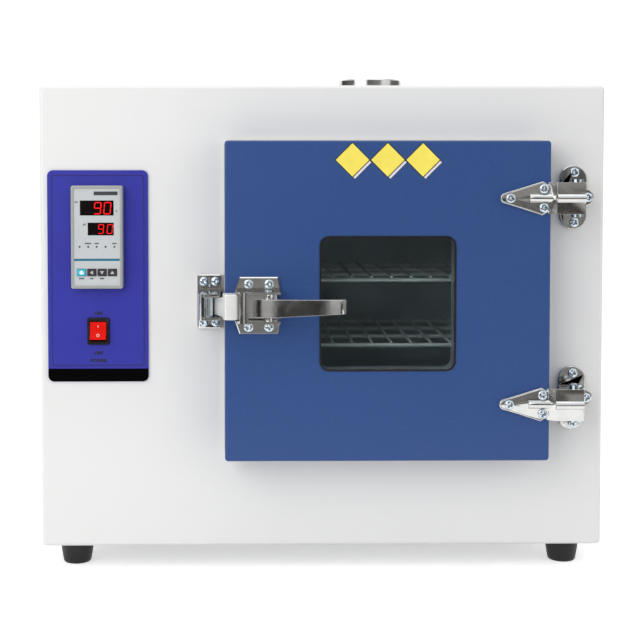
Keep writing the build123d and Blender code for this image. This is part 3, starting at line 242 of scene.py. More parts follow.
def fleck_group():
    """Small bright flecks, as in hammered enamel."""
    tree, given, out = effect(
        "Oven Fleck",
        {"Colour": "Color", "Fleck": "Color", "Scale": "Float", "Amount": "Float"},
        {"Colour": "Color"})
    mask = remap(tree, noise(tree, given["Vector"], given["Scale"], 1.0, 0.4), 0.5, 0.78)
    share = maths(tree, "MULTIPLY", mask, given["Amount"])
    tree.links.new(blend(tree, share, given["Colour"], given["Fleck"]), out["Colour"])
    return tree


def smudge_group():
    """Roughness that changes with handling marks."""
    tree, given, out = effect(
        "Oven Smudge", {"Roughness": "Float", "Spread": "Float", "Scale": "Float"},
        {"Roughness": "Float"})
    marks = noise(tree, given["Vector"], given["Scale"], 4.0, distortion=0.6)
    tree.links.new(around(tree, marks, given["Roughness"], given["Spread"]), out["Roughness"])
    return tree


def relief_group():
    """Fine height: orange peel, moulded grain, or brushing when it is stretched."""
    tree, given, out = effect(
        "Oven Relief", {"Stretch": "Vector", "Scale": "Float"}, {"Height": "Float"})
    shaped = add(tree, "ShaderNodeVectorMath", {
        0: given["Vector"], 1: given["Stretch"]}, operation="MULTIPLY")
    tree.links.new(noise(tree, shaped.outputs[0], given["Scale"], 2.0), out["Height"])
    return tree


def masked(tree, given, out, where, gaps):
    """Where an effect applies, broken up by noise and weakened to its amount."""
    mask = maths(tree, "MULTIPLY", maths(tree, "MULTIPLY", where, gaps), given["Amount"])
    tree.links.new(mask, out["Mask"])
    return tree


def wear_group():
    """Mask along convex edges, broken up by noise."""
    tree, given, out = effect("Oven Edge Wear", {"Amount": "Float"}, {"Mask": "Float"})
    form = add(tree, "ShaderNodeNewGeometry")
    edge = remap(tree, form.outputs["Pointiness"], 0.52, 0.62)
    gaps = remap(tree, noise(tree, given["Vector"], 160.0, 4.0), 0.42, 0.62)
    return masked(tree, given, out, edge, gaps)


def dust_group():
    """Mask of thin dust on faces that look up."""
    tree, given, out = effect("Oven Dust", {"Amount": "Float"}, {"Mask": "Float"})
    form = add(tree, "ShaderNodeNewGeometry")
    parts = add(tree, "ShaderNodeSeparateXYZ", {0: form.outputs["Normal"]})
    up = remap(tree, parts.outputs["Z"], 0.5, 1.0)
    return masked(tree, given, out, up, noise(tree, given["Vector"], 40.0, 5.0))


EFFECTS = {
    "Oven Mottle": mottle_group, "Oven Fleck": fleck_group, "Oven Smudge": smudge_group,
    "Oven Relief": relief_group, "Oven Edge Wear": wear_group, "Oven Dust": dust_group,
}


def place_effect(tree, name, inputs):
    """One of the shared effects, placed in a material with its own values."""
    group = bpy.data.node_groups.get(name) or EFFECTS[name]()
    return add(tree, "ShaderNodeGroup", inputs, node_tree=group).outputs


def recipe(tint, rough, mottle, smudge=(0.05, 90.0), **more):
    """A finish: colour name, roughness, mottle (shade, scale) and smudge (spread, scale).

    Then, where they apply: fleck (colour, amount, scale), relief (height in mm, scale,
    stretch), edge wear and dust amounts, metallic, coat and specular level.
    """
    return dict(more, tint=tint, rough=rough, mottle=mottle, smudge=smudge)


EVEN = (1.0, 1.0, 1.0)
ALONG_X = (0.02, 1.0, 1.0)
ALONG_Y = (1.0, 0.02, 1.0)
ALONG_Z = (1.0, 1.0, 0.02)
FINISHES = {
    "cabinet_enamel": recipe("body", 0.34, (0.012, 9.0), (0.05, 18.0),
        relief=(0.02, 420.0, EVEN), dust=0.1, coat=0.25),
    "door_enamel": recipe("door", 0.4, (0.012, 5.0), (0.05, 9.0),
        fleck=("door_fleck", 0.3, 1500.0), relief=(0.05, 520.0, EVEN), dust=0.06, coat=0.06,
        specular=0.3),
    "fascia_film": recipe("fascia", 0.42, (0.03, 30.0), (0.06, 40.0),
        relief=(0.01, 1500.0, EVEN), specular=0.3),
    "pressed_line": recipe("groove", 0.5, (0.06, 60.0)),
    "ink": recipe("ink", 0.55, (0.08, 120.0)),
    "black_band": recipe("band", 0.55, (0.2, 60.0), (0.08, 50.0), relief=(0.01, 1500.0, EVEN),
        specular=0.02),
    "bezel_plastic": recipe("housing", 0.45, (0.03, 60.0), (0.06, 60.0),
        relief=(0.015, 2200.0, EVEN), wear=0.05, dust=0.1),
    "face_film": recipe("face", 0.4, (0.02, 50.0), (0.06, 60.0), relief=(0.01, 1800.0, EVEN)),
    "lens": recipe("lens", 0.24, (0.3, 40.0), (0.05, 60.0), specular=0.2),
    "lettering": recipe("lettering", 0.5, (0.1, 150.0)),
    "teal_line": recipe("line", 0.45, (0.05, 90.0)),
    "key_rubber": recipe("key", 0.5, (0.1, 90.0), (0.08, 120.0), relief=(0.02, 2500.0, EVEN),
        wear=0.15),
    "key_mark": recipe("key_mark", 0.5, (0.06, 200.0)),
    "key_cyan": recipe("key_set", 0.45, (0.06, 90.0), (0.08, 120.0),
        relief=(0.02, 2500.0, EVEN)),
    "key_blob": recipe("key_blob", 0.5, (0.04, 200.0)),
    "rocker_red": recipe("rocker", 0.46, (0.06, 90.0), (0.08, 90.0), relief=(0.01, 1800.0, EVEN),
        specular=0.12),
    "rocker_mark": recipe("rocker_mark", 0.4, (0.04, 200.0)),
    "switch_black": recipe("band", 0.5, (0.15, 90.0), (0.08, 90.0), relief=(0.02, 2200.0, EVEN),
        wear=0.08, dust=0.1, specular=0.25),
    "label_yellow": recipe("label", 0.4, (0.05, 60.0), (0.06, 60.0),
        fleck=("label_strip", 0.1, 1500.0)),
    "label_edge": recipe("label_edge", 0.45, (0.1, 90.0), (0.05, 60.0)),
    "label_strip": recipe("label_strip", 0.45, (0.04, 300.0), (0.05, 60.0)),
    "chrome": recipe("chrome", 0.11, (0.06, 60.0), (0.05, 70.0), metallic=1.0,
        relief=(0.07, 90.0, EVEN)),
    "bolt_steel": recipe("bolt", 0.36, (0.04, 90.0), (0.06, 90.0), metallic=0.25,
        relief=(0.015, 500.0, ALONG_X)),
    "screw_zinc": recipe("screw", 0.14, (0.1, 250.0), (0.08, 250.0), metallic=1.0,
        relief=(0.02, 900.0, EVEN)),
    "roller_steel": recipe("screw", 0.16, (0.05, 200.0), (0.05, 200.0), metallic=1.0,
        relief=(0.01, 900.0, ALONG_X)),
    "zinc_sheet": recipe("zinc", 0.36, (0.14, 45.0), (0.1, 60.0), metallic=1.0,
        relief=(0.02, 300.0, EVEN), dust=0.1),
    "vent_plate": recipe("chrome", 0.2, (0.1, 80.0), (0.08, 80.0), metallic=1.0,
        relief=(0.02, 400.0, EVEN), wear=0.2, dust=0.12),
    "chamber_steel": recipe("stainless", 0.38, (0.1, 16.0), (0.08, 40.0), metallic=0.35,
        relief=(0.02, 700.0, ALONG_X)),
    "wire_steel": recipe("bolt", 0.4, (0.08, 120.0), (0.08, 120.0), metallic=0.2,
        relief=(0.01, 900.0, ALONG_Y)),
    "heater_steel": recipe("stainless", 0.45, (0.3, 50.0), (0.1, 60.0), metallic=1.0,
        relief=(0.02, 700.0, EVEN)),
    "frame_steel": recipe("stainless", 0.42, (0.1, 50.0), (0.08, 60.0), metallic=1.0,
        relief=(0.015, 900.0, ALONG_Z)),
    "foot_rubber": recipe("rubber", 0.46, (0.25, 80.0), (0.06, 80.0),
        relief=(0.03, 1400.0, EVEN), dust=0.25, specular=0.4),
    "gasket_silicone": recipe("silicone", 0.55, (0.06, 60.0), (0.08, 60.0),
        relief=(0.03, 900.0, EVEN), dust=0.15),
    "glass_wool": recipe("wool", 0.95, (0.25, 90.0), (0.04, 60.0), relief=(0.6, 700.0, ALONG_X)),
    "black_nylon": recipe("nylon", 0.5, (0.12, 90.0), (0.08, 90.0), relief=(0.02, 1800.0, EVEN),
        wear=0.08, dust=0.15),
}


def emptied(data):
    """The node tree of a material or a surround, with nothing in it."""
    data.use_nodes = True
    data.node_tree.nodes.clear()
    return data.node_tree


def empty_material(name):
    """A new material with nothing in it, its tree and the object's coordinates."""
    material = bpy.data.materials.new(f"Oven {name}")
    tree = emptied(material)
    return material, tree, add(tree, "ShaderNodeTexCoord").outputs["Object"]


def mottled(tree, vector, tint, shade, scale):
    """A colour with the shared mottle on it."""
    return place_effect(tree, "Oven Mottle", {
        "Vector": vector, "Colour": tint, "Shade": shade, "Scale": scale})["Colour"]


def smudged(tree, vector, rough, spread, scale):
    """A roughness with the shared smudge on it."""
    return place_effect(tree, "Oven Smudge", {
        "Vector": vector, "Roughness": rough, "Spread": spread, "Scale": scale})["Roughness"]


def finish(name):
    """The material of this name, built on its first use."""
    if f"Oven {name}" in bpy.data.materials:
        return bpy.data.materials[f"Oven {name}"]
    return OTHER_FINISHES[name]() if name in OTHER_FINISHES else recipe_finish(name)


def recipe_finish(name):
    """A material built from its recipe."""
    given = FINISHES[name]
    colours = bpy.context.scene.oven_colours
    material, tree, vector = empty_material(name)
    tint = mottled(tree, vector, getattr(colours, given["tint"]), *given["mottle"])
    if "fleck" in given:
        fleck, amount, scale = given["fleck"]
        tint = place_effect(tree, "Oven Fleck", {
            "Vector": vector, "Colour": tint, "Fleck": getattr(colours, fleck),
            "Scale": scale, "Amount": amount})["Colour"]
    for key, title in (("wear", "Oven Edge Wear"), ("dust", "Oven Dust")):
        if key in given:
            mask = place_effect(tree, title, {"Vector": vector, "Amount": given[key]})
            tint = blend(tree, mask["Mask"], tint, getattr(colours, key))
    shader = add(tree, "ShaderNodeBsdfPrincipled", {
        "Base Color": tint, "Metallic": given.get("metallic", 0.0),
        "Roughness": smudged(tree, vector, given["rough"], *given["smudge"])})
    if "coat" in given:
        shader.inputs["Coat Weight"].default_value = given["coat"]
        shader.inputs["Coat Roughness"].default_value = 0.12
    if "specular" in given:
        shader.inputs["Specular IOR Level"].default_value = given["specular"]
    if "relief" in given:
        height, scale, stretch = given["relief"]
        relief = place_effect(tree, "Oven Relief", {
            "Vector": vector, "Stretch": stretch, "Scale": scale})
        bump = add(tree, "ShaderNodeBump", {
            "Strength": 1.0, "Distance": height * MM, "Height": relief["Height"]})
        tree.links.new(bump.outputs[0], shader.inputs["Normal"])
    add(tree, "ShaderNodeOutputMaterial", {"Surface": shader.outputs[0]})
    return material


def glass_finish():
    """Clear pane that lets the lamps' light through."""
    material, tree, vector = empty_material("pane_glass")
    shader = add(tree, "ShaderNodeBsdfPrincipled", {
        "Base Color": mottled(tree, vector, srgb(226, 232, 231), 0.03, 25.0),
        "Roughness": 0.0, "IOR": 1.2, "Transmission Weight": 1.0})
    clear = add(tree, "ShaderNodeBsdfTransparent", {"Color": srgb(250, 252, 253)})
    path = add(tree, "ShaderNodeLightPath")
    mix = add(tree, "ShaderNodeMixShader", {
        0: path.outputs["Is Shadow Ray"], 1: shader.outputs[0], 2: clear.outputs[0]})
    add(tree, "ShaderNodeOutputMaterial", {"Surface": mix.outputs[0]})
    return material


def lit_finish():
    """Glowing red of the readings, uneven as a lit bar is."""
    material, tree, vector = empty_material("lit_digit")
    glow = mottled(tree, vector, bpy.context.scene.oven_colours.digit, 0.12, 400.0)
    shader = add(tree, "ShaderNodeBsdfPrincipled", {
        "Base Color": glow, "Roughness": smudged(tree, vector, 0.4, 0.05, 90.0),
        "Specular IOR Level": 0.1, "Emission Color": glow, "Emission Strength": 0.6})
    add(tree, "ShaderNodeOutputMaterial", {"Surface": shader.outputs[0]})
    return material


OTHER_FINISHES = {"pane_glass": glass_finish, "lit_digit": lit_finish}


def open_view(tree):
    """One where a ray is the camera's, mirrored or through glass, and not yet scattered."""
    path = add(tree, "ShaderNodeLightPath").outputs
    seen = path["Is Camera Ray"]
    for other in ("Is Glossy Ray", "Is Transmission Ray"):
        seen = maths(tree, "MAXIMUM", seen, path[other])
    return maths(tree, "MULTIPLY", seen, maths(tree, "LESS_THAN", path["Diffuse Depth"], 0.5))


def coat(look, *nodes):
    """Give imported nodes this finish."""
    for node in nodes:
        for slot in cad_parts[node].material_slots:
            slot.material = finish(look)


# ---- mesh making
def stand(name, data):
    """A new object in the scene."""
    made = bpy.data.objects.new(name, data)
    bpy.context.scene.collection.objects.link(made)
    return made


def solid(name, form, material):
    """A new object in the scene from a bmesh."""
    mesh = bpy.data.meshes.new(name)
    form.to_mesh(mesh)
    form.free()
    mesh.materials.append(material)
    return stand(name, mesh)


def piece(name, form, look, body, replaced=(), crease=None):
    """An object from a bmesh, riding a body and taking its finish from a slot."""
    bmesh.ops.recalc_face_normals(form, faces=form.faces)
    made = solid(name, form, finish(look))
    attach(made, body)
    if replaced:
        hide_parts(*replaced)
    if crease:
        shade_by_angle(made, crease)
    return made


def shade_by_angle(made, degrees=CREASE):
    """Smooth faces, with a crease wherever two meet more sharply than this."""
    mesh = made.data
    mesh.polygons.foreach_set("use_smooth", [True] * len(mesh.polygons))
    mesh.set_sharp_from_angle(angle=math.radians(degrees))


def dress(node, look, width, body="root", segments=2, shape=None):
    """A piece that stands for a node: the same form with its edges broken."""
    form = bmesh.new()
    form.from_mesh(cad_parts[node].data)
    bmesh.ops.remove_doubles(form, verts=form.verts, dist=1e-6)
    bmesh.ops.dissolve_limit(
        form, angle_limit=math.radians(1.0), verts=form.verts, edges=form.edges)
    if shape:
        shape(form)
    made = piece(f"{node}_form", form, look, body, [node])
    broken = made.modifiers.new("Edges", "BEVEL")
    broken.width = width
    broken.segments = segments
    broken.limit_method = "ANGLE"
    broken.angle_limit = math.radians(38.0)
    broken.use_clamp_overlap = True
    broken.harden_normals = True
    shade_by_angle(made)


def front(x, y, z, tilt=90.0):
    """Places a flat drawing in X and Z on the plane at y, facing the front or as tilted."""
    return Matrix.Translation((x, y, z)) @ Matrix.Rotation(math.radians(tilt), 4, "X")


def slab(form, outline, thickness, where):
    """A flat drawing made solid, from a little behind its plane to thickness in front."""
    low = [form.verts.new(where @ Vector((u, v, -thickness))) for u, v in outline]
    high = [form.verts.new(where @ Vector((u, v, thickness))) for u, v in outline]
    form.faces.new(high)
    form.faces.new(low[::-1])
    count = len(outline)
    for index in range(count):
        after = (index + 1) % count
        form.faces.new((low[index], low[after], high[after], high[index]))


def rounded(width, height, radii, sides=6):
    """Outline of a rectangle with one radius, or one for each corner from the lower left."""
    radii = radii if isinstance(radii, tuple) else (radii,) * 4
    half_w, half_h = width / 2, height / 2
    corners = ((-1, -1, 180.0), (1, -1, 270.0), (1, 1, 0.0), (-1, 1, 90.0))
    points = []
    for (side, level, start), radius in zip(corners, radii):
        centre = (side * (half_w - radius), level * (half_h - radius))
        if radius <= 0.0:
            points.append(centre)
            continue
        for step in range(sides + 1):
            angle = math.radians(start + 90.0 * step / sides)
            points.append(
                (centre[0] + radius * math.cos(angle), centre[1] + radius * math.sin(angle)))
    return points


def circle(radius, sides):
    """Outline of a circle."""
    turn = 2 * math.pi / sides
    return [(radius * math.cos(turn * i), radius * math.sin(turn * i)) for i in range(sides)]


def ring(form, outer, inner, thickness, where):
    """A flat band between two outlines with the same number of points."""
    loops = []
    for outline in (outer, inner):
        for level in (-thickness, thickness):
            loops.append([form.verts.new(where @ Vector((u, v, level))) for u, v in outline])
    outer_low, outer_high, inner_low, inner_high = loops
    count = len(outer)
    for i in range(count):
        j = (i + 1) % count
        form.faces.new((outer_high[i], outer_high[j], inner_high[j], inner_high[i]))
        form.faces.new((outer_low[j], outer_low[i], inner_low[i], inner_low[j]))
        form.faces.new((outer_low[i], outer_low[j], outer_high[j], outer_high[i]))
        form.faces.new((inner_low[j], inner_low[i], inner_high[i], inner_high[j]))


def words(form, text, height, where, thickness, widen=1.0, weight=0.0):
    """Raised capitals, centred."""
    curve = bpy.data.curves.new("words", "FONT")
    curve.body = text
    curve.align_x = "CENTER"
    curve.align_y = "CENTER"
    curve.size = height / 0.7
    curve.extrude = thickness
    curve.offset = weight
    curve.resolution_u = 3
    holder = stand("words", curve)
    bpy.context.view_layer.update()
    mesh = bpy.data.meshes.new_from_object(holder)
    mesh.transform(where @ Matrix.Diagonal((widen, 1.0, 1.0, 1.0)))
    form.from_mesh(mesh)
    bpy.data.objects.remove(holder)
    bpy.data.curves.remove(curve)
    bpy.data.meshes.remove(mesh)


def tube(form, path, radius, sides=10):
    """A round bead along an open path."""
    rings = []
    for index, point in enumerate(path):
        ahead = path[min(index + 1, len(path) - 1)] - path[max(index - 1, 0)]
        turn = ahead.to_track_quat("Z", "Y").to_matrix()
        rings.append([
            form.verts.new(point + turn @ Vector((u, v, 0.0))) for u, v in circle(radius, sides)])
    for one, two in zip(rings, rings[1:]):
        near = min(range(sides), key=lambda shift: (one[0].co - two[shift].co).length)
        for side in range(sides):
            form.faces.new((
                one[side], one[(side + 1) % sides],
                two[(side + 1 + near) % sides], two[(side + near) % sides]))
    form.faces.new(rings[0])
    form.faces.new(rings[-1][::-1])


def turned(form, profile, sides, where):
    """A closed profile of radius and height, turned about local Z."""
    loops = []
    for radius, height in profile:
        if radius <= 0.0:
            loops.append([form.verts.new(where @ Vector((0, 0, height)))] * sides)
            continue
        loops.append([
            form.verts.new(where @ Vector((u, v, height))) for u, v in circle(radius, sides)
        ])
    for one, two in zip(loops, loops[1:] + loops[:1]):
        for side in range(sides):
            after = (side + 1) % sides
            corners = []
            for vert in (one[side], one[after], two[after], two[side]):
                if vert not in corners:
                    corners.append(vert)
            if len(corners) > 2:
                form.faces.new(corners)


def screw_head(form, where, sizes, sides, turn):
    """A pan head with a cross recess. Local +Z leaves the seat."""
    radius, height = sizes.screw_radius, sizes.screw_height
    levels = (0.1, 0.16, 0.22, 0.3, 0.4, 0.5, 0.6, 0.68, 0.76, 0.86, 0.94, 0.985, 1.0)
    reach = 0.66
    centre = form.verts.new(where @ Vector((0, 0, height - sizes.recess_depth)))
    rings = []
    for level in levels:
        crown = height * (1.0 - 0.42 * level ** 2.4 - 0.16 * max(0.0, level - 0.9) / 0.1)
        loop = []
        for side in range(sides):
            angle = 2 * math.pi * side / sides
            u, v = level * radius * math.cos(angle + turn), level * radius * math.sin(angle + turn)
            arm = min(abs(level * radius * math.cos(angle)), abs(level * radius * math.sin(angle)))
            depth = 0.0
            if arm < sizes.recess_width * (1.15 - 0.5 * level) and level < reach:
                depth = sizes.recess_depth * (1.0 - 0.55 * level / reach)
            loop.append(form.verts.new(where @ Vector((u, v, crown - depth))))
        rings.append(loop)
    foot = [form.verts.new(where @ Vector((u, v, 0.0))) for u, v in circle(radius, sides)]
    rings.append([foot[(side + round(turn * sides / (2 * math.pi))) % sides]
                  for side in range(sides)])
    for side in range(sides):
        after = (side + 1) % sides
        form.faces.new((centre, rings[0][side], rings[0][after]))
        for inner, outer in zip(rings, rings[1:]):
            form.faces.new((inner[side], outer[side], outer[after], inner[after]))
    form.faces.new(rings[-1][::-1])


def surface_point(node, x, z):
    """Where a node's front is met at this X and Z, and its normal there."""
    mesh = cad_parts[node].data
    tree = BVHTree.FromPolygons(
        [vert.co for vert in mesh.vertices], [face.vertices for face in mesh.polygons]
    )
    point, normal, _, _ = tree.ray_cast(Vector((x, -1.0, z)), Vector((0.0, 1.0, 0.0)))
    if point is None:
        raise RuntimeError(f"nothing of {node} lies behind this place")
    return point, normal


def settings():
    """The scene's sizes, colours and lights."""
    scene = bpy.context.scene
    return scene.oven_sizes, scene.oven_colours, scene.oven_lights


# ---- places on the oven
PANEL_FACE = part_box("front_panel")[0].y
DOOR_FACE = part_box("door_skin")[0].y
FASCIA_LOW, FASCIA_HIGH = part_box("control_fascia")
CONTROL_LOW, CONTROL_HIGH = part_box("controller_face")
STRIKE_LOW, STRIKE_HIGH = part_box("strike_body")
CONTROL = (CONTROL_LOW + CONTROL_HIGH) / 2
ROCKER = sum(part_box("rocker_housing"), Vector()) / 2
DOOR = sum(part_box("door_skin"), Vector()) / 2
LATCH_Z = (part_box("latch_body")[0].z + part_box("latch_body")[1].z) / 2
HINGE_Z = {
    which: (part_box(f"hinge_strap_{which}")[0].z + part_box(f"hinge_strap_{which}")[1].z) / 2
    for which in HINGES
}

# Plates that carry screws, and the hinge leaf's outline, in mm.
BRACKET_THICK = 3.5
STRAP_THICK = 3.0
PLATE_THICK = 4.0
LEAF_TIP_RADIUS = 5.0
LEAF_SHOULDER_X = 199.0
LEAF_NECK_X, LEAF_NECK_HALF = 203.5, 12.7

# Screws in mm: X and height from the hinge's middle, or columns and half height.
BRACKET_SCREWS = ((236.0, 23.5), (236.0, -23.5), (249.0, 0.0))
STRAP_SCREWS = ((169.3, 0.0), (200.0, 8.6), (200.0, -8.6))
STRIKE_SCREWS = ((-111.0, -100.2), 19.0)
LATCH_SCREWS = ((-69.2, -50.6), 19.6)

# Lamps: place, what each points at, and side, in metres.
LAMPS = {
    "key": ((-1.05, -1.35, 0.95), (0.0, -0.16, 0.25), 1.5),
    "fill": ((1.5, -1.0, 0.7), (0.0, -0.1, 0.25), 1.2),
    "top": ((0.0, -0.1, 2.0), (0.0, 0.0, 0.2), 1.6),
}

# The pale sweep, in metres, and how much it is lifted where it is seen directly.
SWEEP_FRONT, SWEEP_BEND, SWEEP_TOP, SWEEP_HALF = -0.9, 1.4, 3.0, 2.6
SWEEP_RADIUS = 0.8
SWEEP_STEPS = 12
SWEEP_LIFT = 0.56

# The room that plated parts mirror: level against the direction's Z and X, from -1 to 1.
ROOM_RISES = ((0.0, 0.04), (0.4, 0.07), (0.44, 0.45), (0.455, 0.62), (0.475, 0.42),
              (0.49, 0.1), (0.52, 0.12), (0.55, 0.4), (0.61, 0.36), (0.66, 0.16), (0.74, 0.8),
              (1.0, 1.0))
ROOM_SIDES = ((0.0, 0.5), (0.1, 0.12), (0.18, 0.08), (0.22, 1.1), (0.34, 1.0), (0.37, 0.05),
              (0.41, 0.06), (0.44, 0.5), (0.53, 0.62), (0.59, 0.9), (0.75, 0.9), (1.0, 0.6))

# The camera: lens and sensor in mm, shift, and how far it looks down and to the right.
CAMERA_LENS, CAMERA_SENSOR = 72.0, 36.0
CAMERA_SHIFT = (0.068, -0.158)
CAMERA_DOWN, CAMERA_RIGHT = 2.25, 0.8


class StageOperator(bpy.types.Operator):
    """Floor, backdrop, lamps, surround and camera"""

    bl_idname = "oven.stage"
    bl_label = "Stage"

    def execute(self, context):
        sizes, _, lights = settings()
        self.backdrop()
        self.surround(lights.sky)
        for name, (at, towards, side) in LAMPS.items():
            self.lamp(f"{name}_lamp", at, towards, side, getattr(lights, name))
        self.camera(sizes)
        context.scene.view_settings.view_transform = "Standard"
        return {"FINISHED"}

    def backdrop(self):
        """A pale sweep: floor, a quarter bend and a wall behind."""
        profile = [(SWEEP_FRONT, 0.0), (SWEEP_BEND, 0.0)]
        for step in range(1, SWEEP_STEPS + 1):
            angle = math.radians(90.0 * step / SWEEP_STEPS)
            profile.append((SWEEP_BEND + SWEEP_RADIUS * math.sin(angle),
                            SWEEP_RADIUS * (1.0 - math.cos(angle))))
        profile.append((SWEEP_BEND + SWEEP_RADIUS, SWEEP_TOP))
        form = bmesh.new()
        columns = [[form.verts.new((x, y, z)) for y, z in profile]
                   for x in (-SWEEP_HALF, 0.0, SWEEP_HALF)]
        for one, two in zip(columns, columns[1:]):
            for index in range(len(profile) - 1):
                form.faces.new((one[index], two[index], two[index + 1], one[index + 1]))
        material, tree, vector = empty_material("sweep")
        tint = mottled(tree, vector, (0.88, 0.88, 0.88, 1.0), 0.006, 3.0)
        matt = add(tree, "ShaderNodeBsdfDiffuse", {"Color": tint})
        lift = maths(tree, "MULTIPLY", open_view(tree), SWEEP_LIFT)
        glow = add(tree, "ShaderNodeEmission", {"Strength": lift})
        both = add(tree, "ShaderNodeAddShader", {0: matt.outputs[0], 1: glow.outputs[0]})
        add(tree, "ShaderNodeOutputMaterial", {"Surface": both.outputs[0]})
        sweep = solid("sweep", form, material)
        sweep.data.polygons.foreach_set("use_smooth", [True] * len(sweep.data.polygons))

    def surround(self, sky):
        """White behind, and a dark room with a bright ceiling for the plated parts to show."""
        world = bpy.data.worlds.new("Oven surround")
        bpy.context.scene.world = world
        tree = emptied(world)
        way = add(tree, "ShaderNodeSeparateXYZ", {
            0: add(tree, "ShaderNodeTexCoord").outputs["Generated"]}).outputs
        room = blend(
            tree, 1.0, self.ramp(tree, way["Z"], ROOM_RISES, (1.0, 1.0, 1.0)),
            self.ramp(tree, way["X"], ROOM_SIDES, (1.0, 0.97, 0.93)), "MULTIPLY")
        room = blend(tree, remap(tree, way["Z"], 0.3, 0.5), room, (0.9, 0.93, 0.97, 1.0))
        path = add(tree, "ShaderNodeLightPath").outputs
        shown = blend(tree, path["Is Glossy Ray"], (sky, sky, sky, 1.0), room)
        depth = maths(tree, "ADD", path["Glossy Depth"], path["Diffuse Depth"])
        straight = maths(tree, "LESS_THAN", depth, 0.5)
        light = add(tree, "ShaderNodeBackground", {
            "Color": blend(tree, straight, shown, (1.0, 1.0, 1.0, 1.0))})
        add(tree, "ShaderNodeOutputWorld", {"Surface": light.outputs[0]})

    def ramp(self, tree, value, stops, tint):
        """Levels that follow a direction from -1 to 1, with a tint."""
        ramp = add(tree, "ShaderNodeValToRGB", {0: remap(tree, value, -1.0, 1.0)})
        for index, (place_at, level_at) in enumerate(stops):
            stop = (ramp.color_ramp.elements[index] if index < 2
                    else ramp.color_ramp.elements.new(place_at))
            stop.position = place_at
            stop.color = (*(min(1.0, level_at * part) for part in tint), 1.0)
        return ramp.outputs[0]

    def lamp(self, name, at, towards, side, power):
        """A square soft lamp."""
        data = bpy.data.lights.new(name, "AREA")
        data.size = side
        data.energy = power
        made = stand(name, data)
        made.location = at
        made.rotation_mode = "QUATERNION"
        made.rotation_quaternion = (Vector(towards) - Vector(at)).to_track_quat("-Z", "Y")

    def camera(self, sizes):
        """A level view from a little above, framed mostly by turning and partly by shift."""
        data = bpy.data.cameras.new("camera")
        data.sensor_width = CAMERA_SENSOR
        data.lens = CAMERA_LENS
        data.shift_x, data.shift_y = CAMERA_SHIFT
        data.clip_start = 0.01
        made = stand("camera", data)
        made.location = (sizes.camera_x, PANEL_FACE - sizes.camera_distance, sizes.camera_z)
        made.rotation_euler = (math.radians(90.0 - CAMERA_DOWN), 0.0, math.radians(-CAMERA_RIGHT))
        bpy.context.scene.camera = made


class CabinetOperator(bpy.types.Operator):
    """Enamelled cabinet, its hidden sheet metal and its rubber feet"""

    bl_idname = "oven.cabinet"
    bl_label = "Cabinet"

    def execute(self, context):
        coat("cabinet_enamel", "outer_casing", "front_panel", "rear_cover")
        coat("zinc_sheet", "base_pan", "partition_wall", "chamber_supports")
        coat("glass_wool", "insulation", "door_insulation")
        coat("screw_zinc", "foot_screws")
        coat("black_nylon", "solid_state_relay", "terminal_block", "gland_nut")
        for where in ("front_left", "front_right", "rear_left", "rear_right"):
            self.foot(where)
        dress("cable_gland", "black_nylon", settings()[0].plastic_break, "root")
        return {"FINISHED"}

    def foot(self, where):
        """A tapered rubber foot with a rounded tread and a screw well."""
        sizes, _, lights = settings()
        low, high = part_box(f"foot_{where}")
        middle = (low + high) / 2
        tall = high.z - low.z
        top = (high.x - low.x) / 2
        well = sizes.foot_well
        profile = [
            (6.5 * MM, 0.0), (top * 0.68, 0.0), (top * 0.74, 0.4 * MM), (top * 0.78, 1.4 * MM),
            (top * 0.8, 2.8 * MM), (top * 0.84, tall * 0.25), (top * 0.9, tall * 0.5),
            (top * 0.95, tall * 0.75), (top, tall - 0.8 * MM), (top * 0.985, tall), (0.0, tall),
            (0.0, well), (6.0 * MM, well), (6.5 * MM, well - 0.6 * MM),
        ]
        form = bmesh.new()
        turned(form, profile, lights.turn, Matrix.Translation((middle.x, middle.y, low.z)))
        piece(f"rubber_foot_{where}", form, "foot_rubber", "root",
              [f"foot_{where}"], 40.0)


class DoorOperator(bpy.types.Operator):
    """Door shell, its inner sheet, its gasket and its double window"""

    bl_idname = "oven.door"
    bl_label = "Door and window"

    def execute(self, context):
        coat("door_enamel", "door_skin")
        coat("chamber_steel", "door_liner")
        coat("frame_steel", "window_frame")
        coat("gasket_silicone", "door_gasket")
        coat("foot_rubber", "window_bead")
        coat("pane_glass", "window_outer_glass", "window_inner_glass")
        return {"FINISHED"}


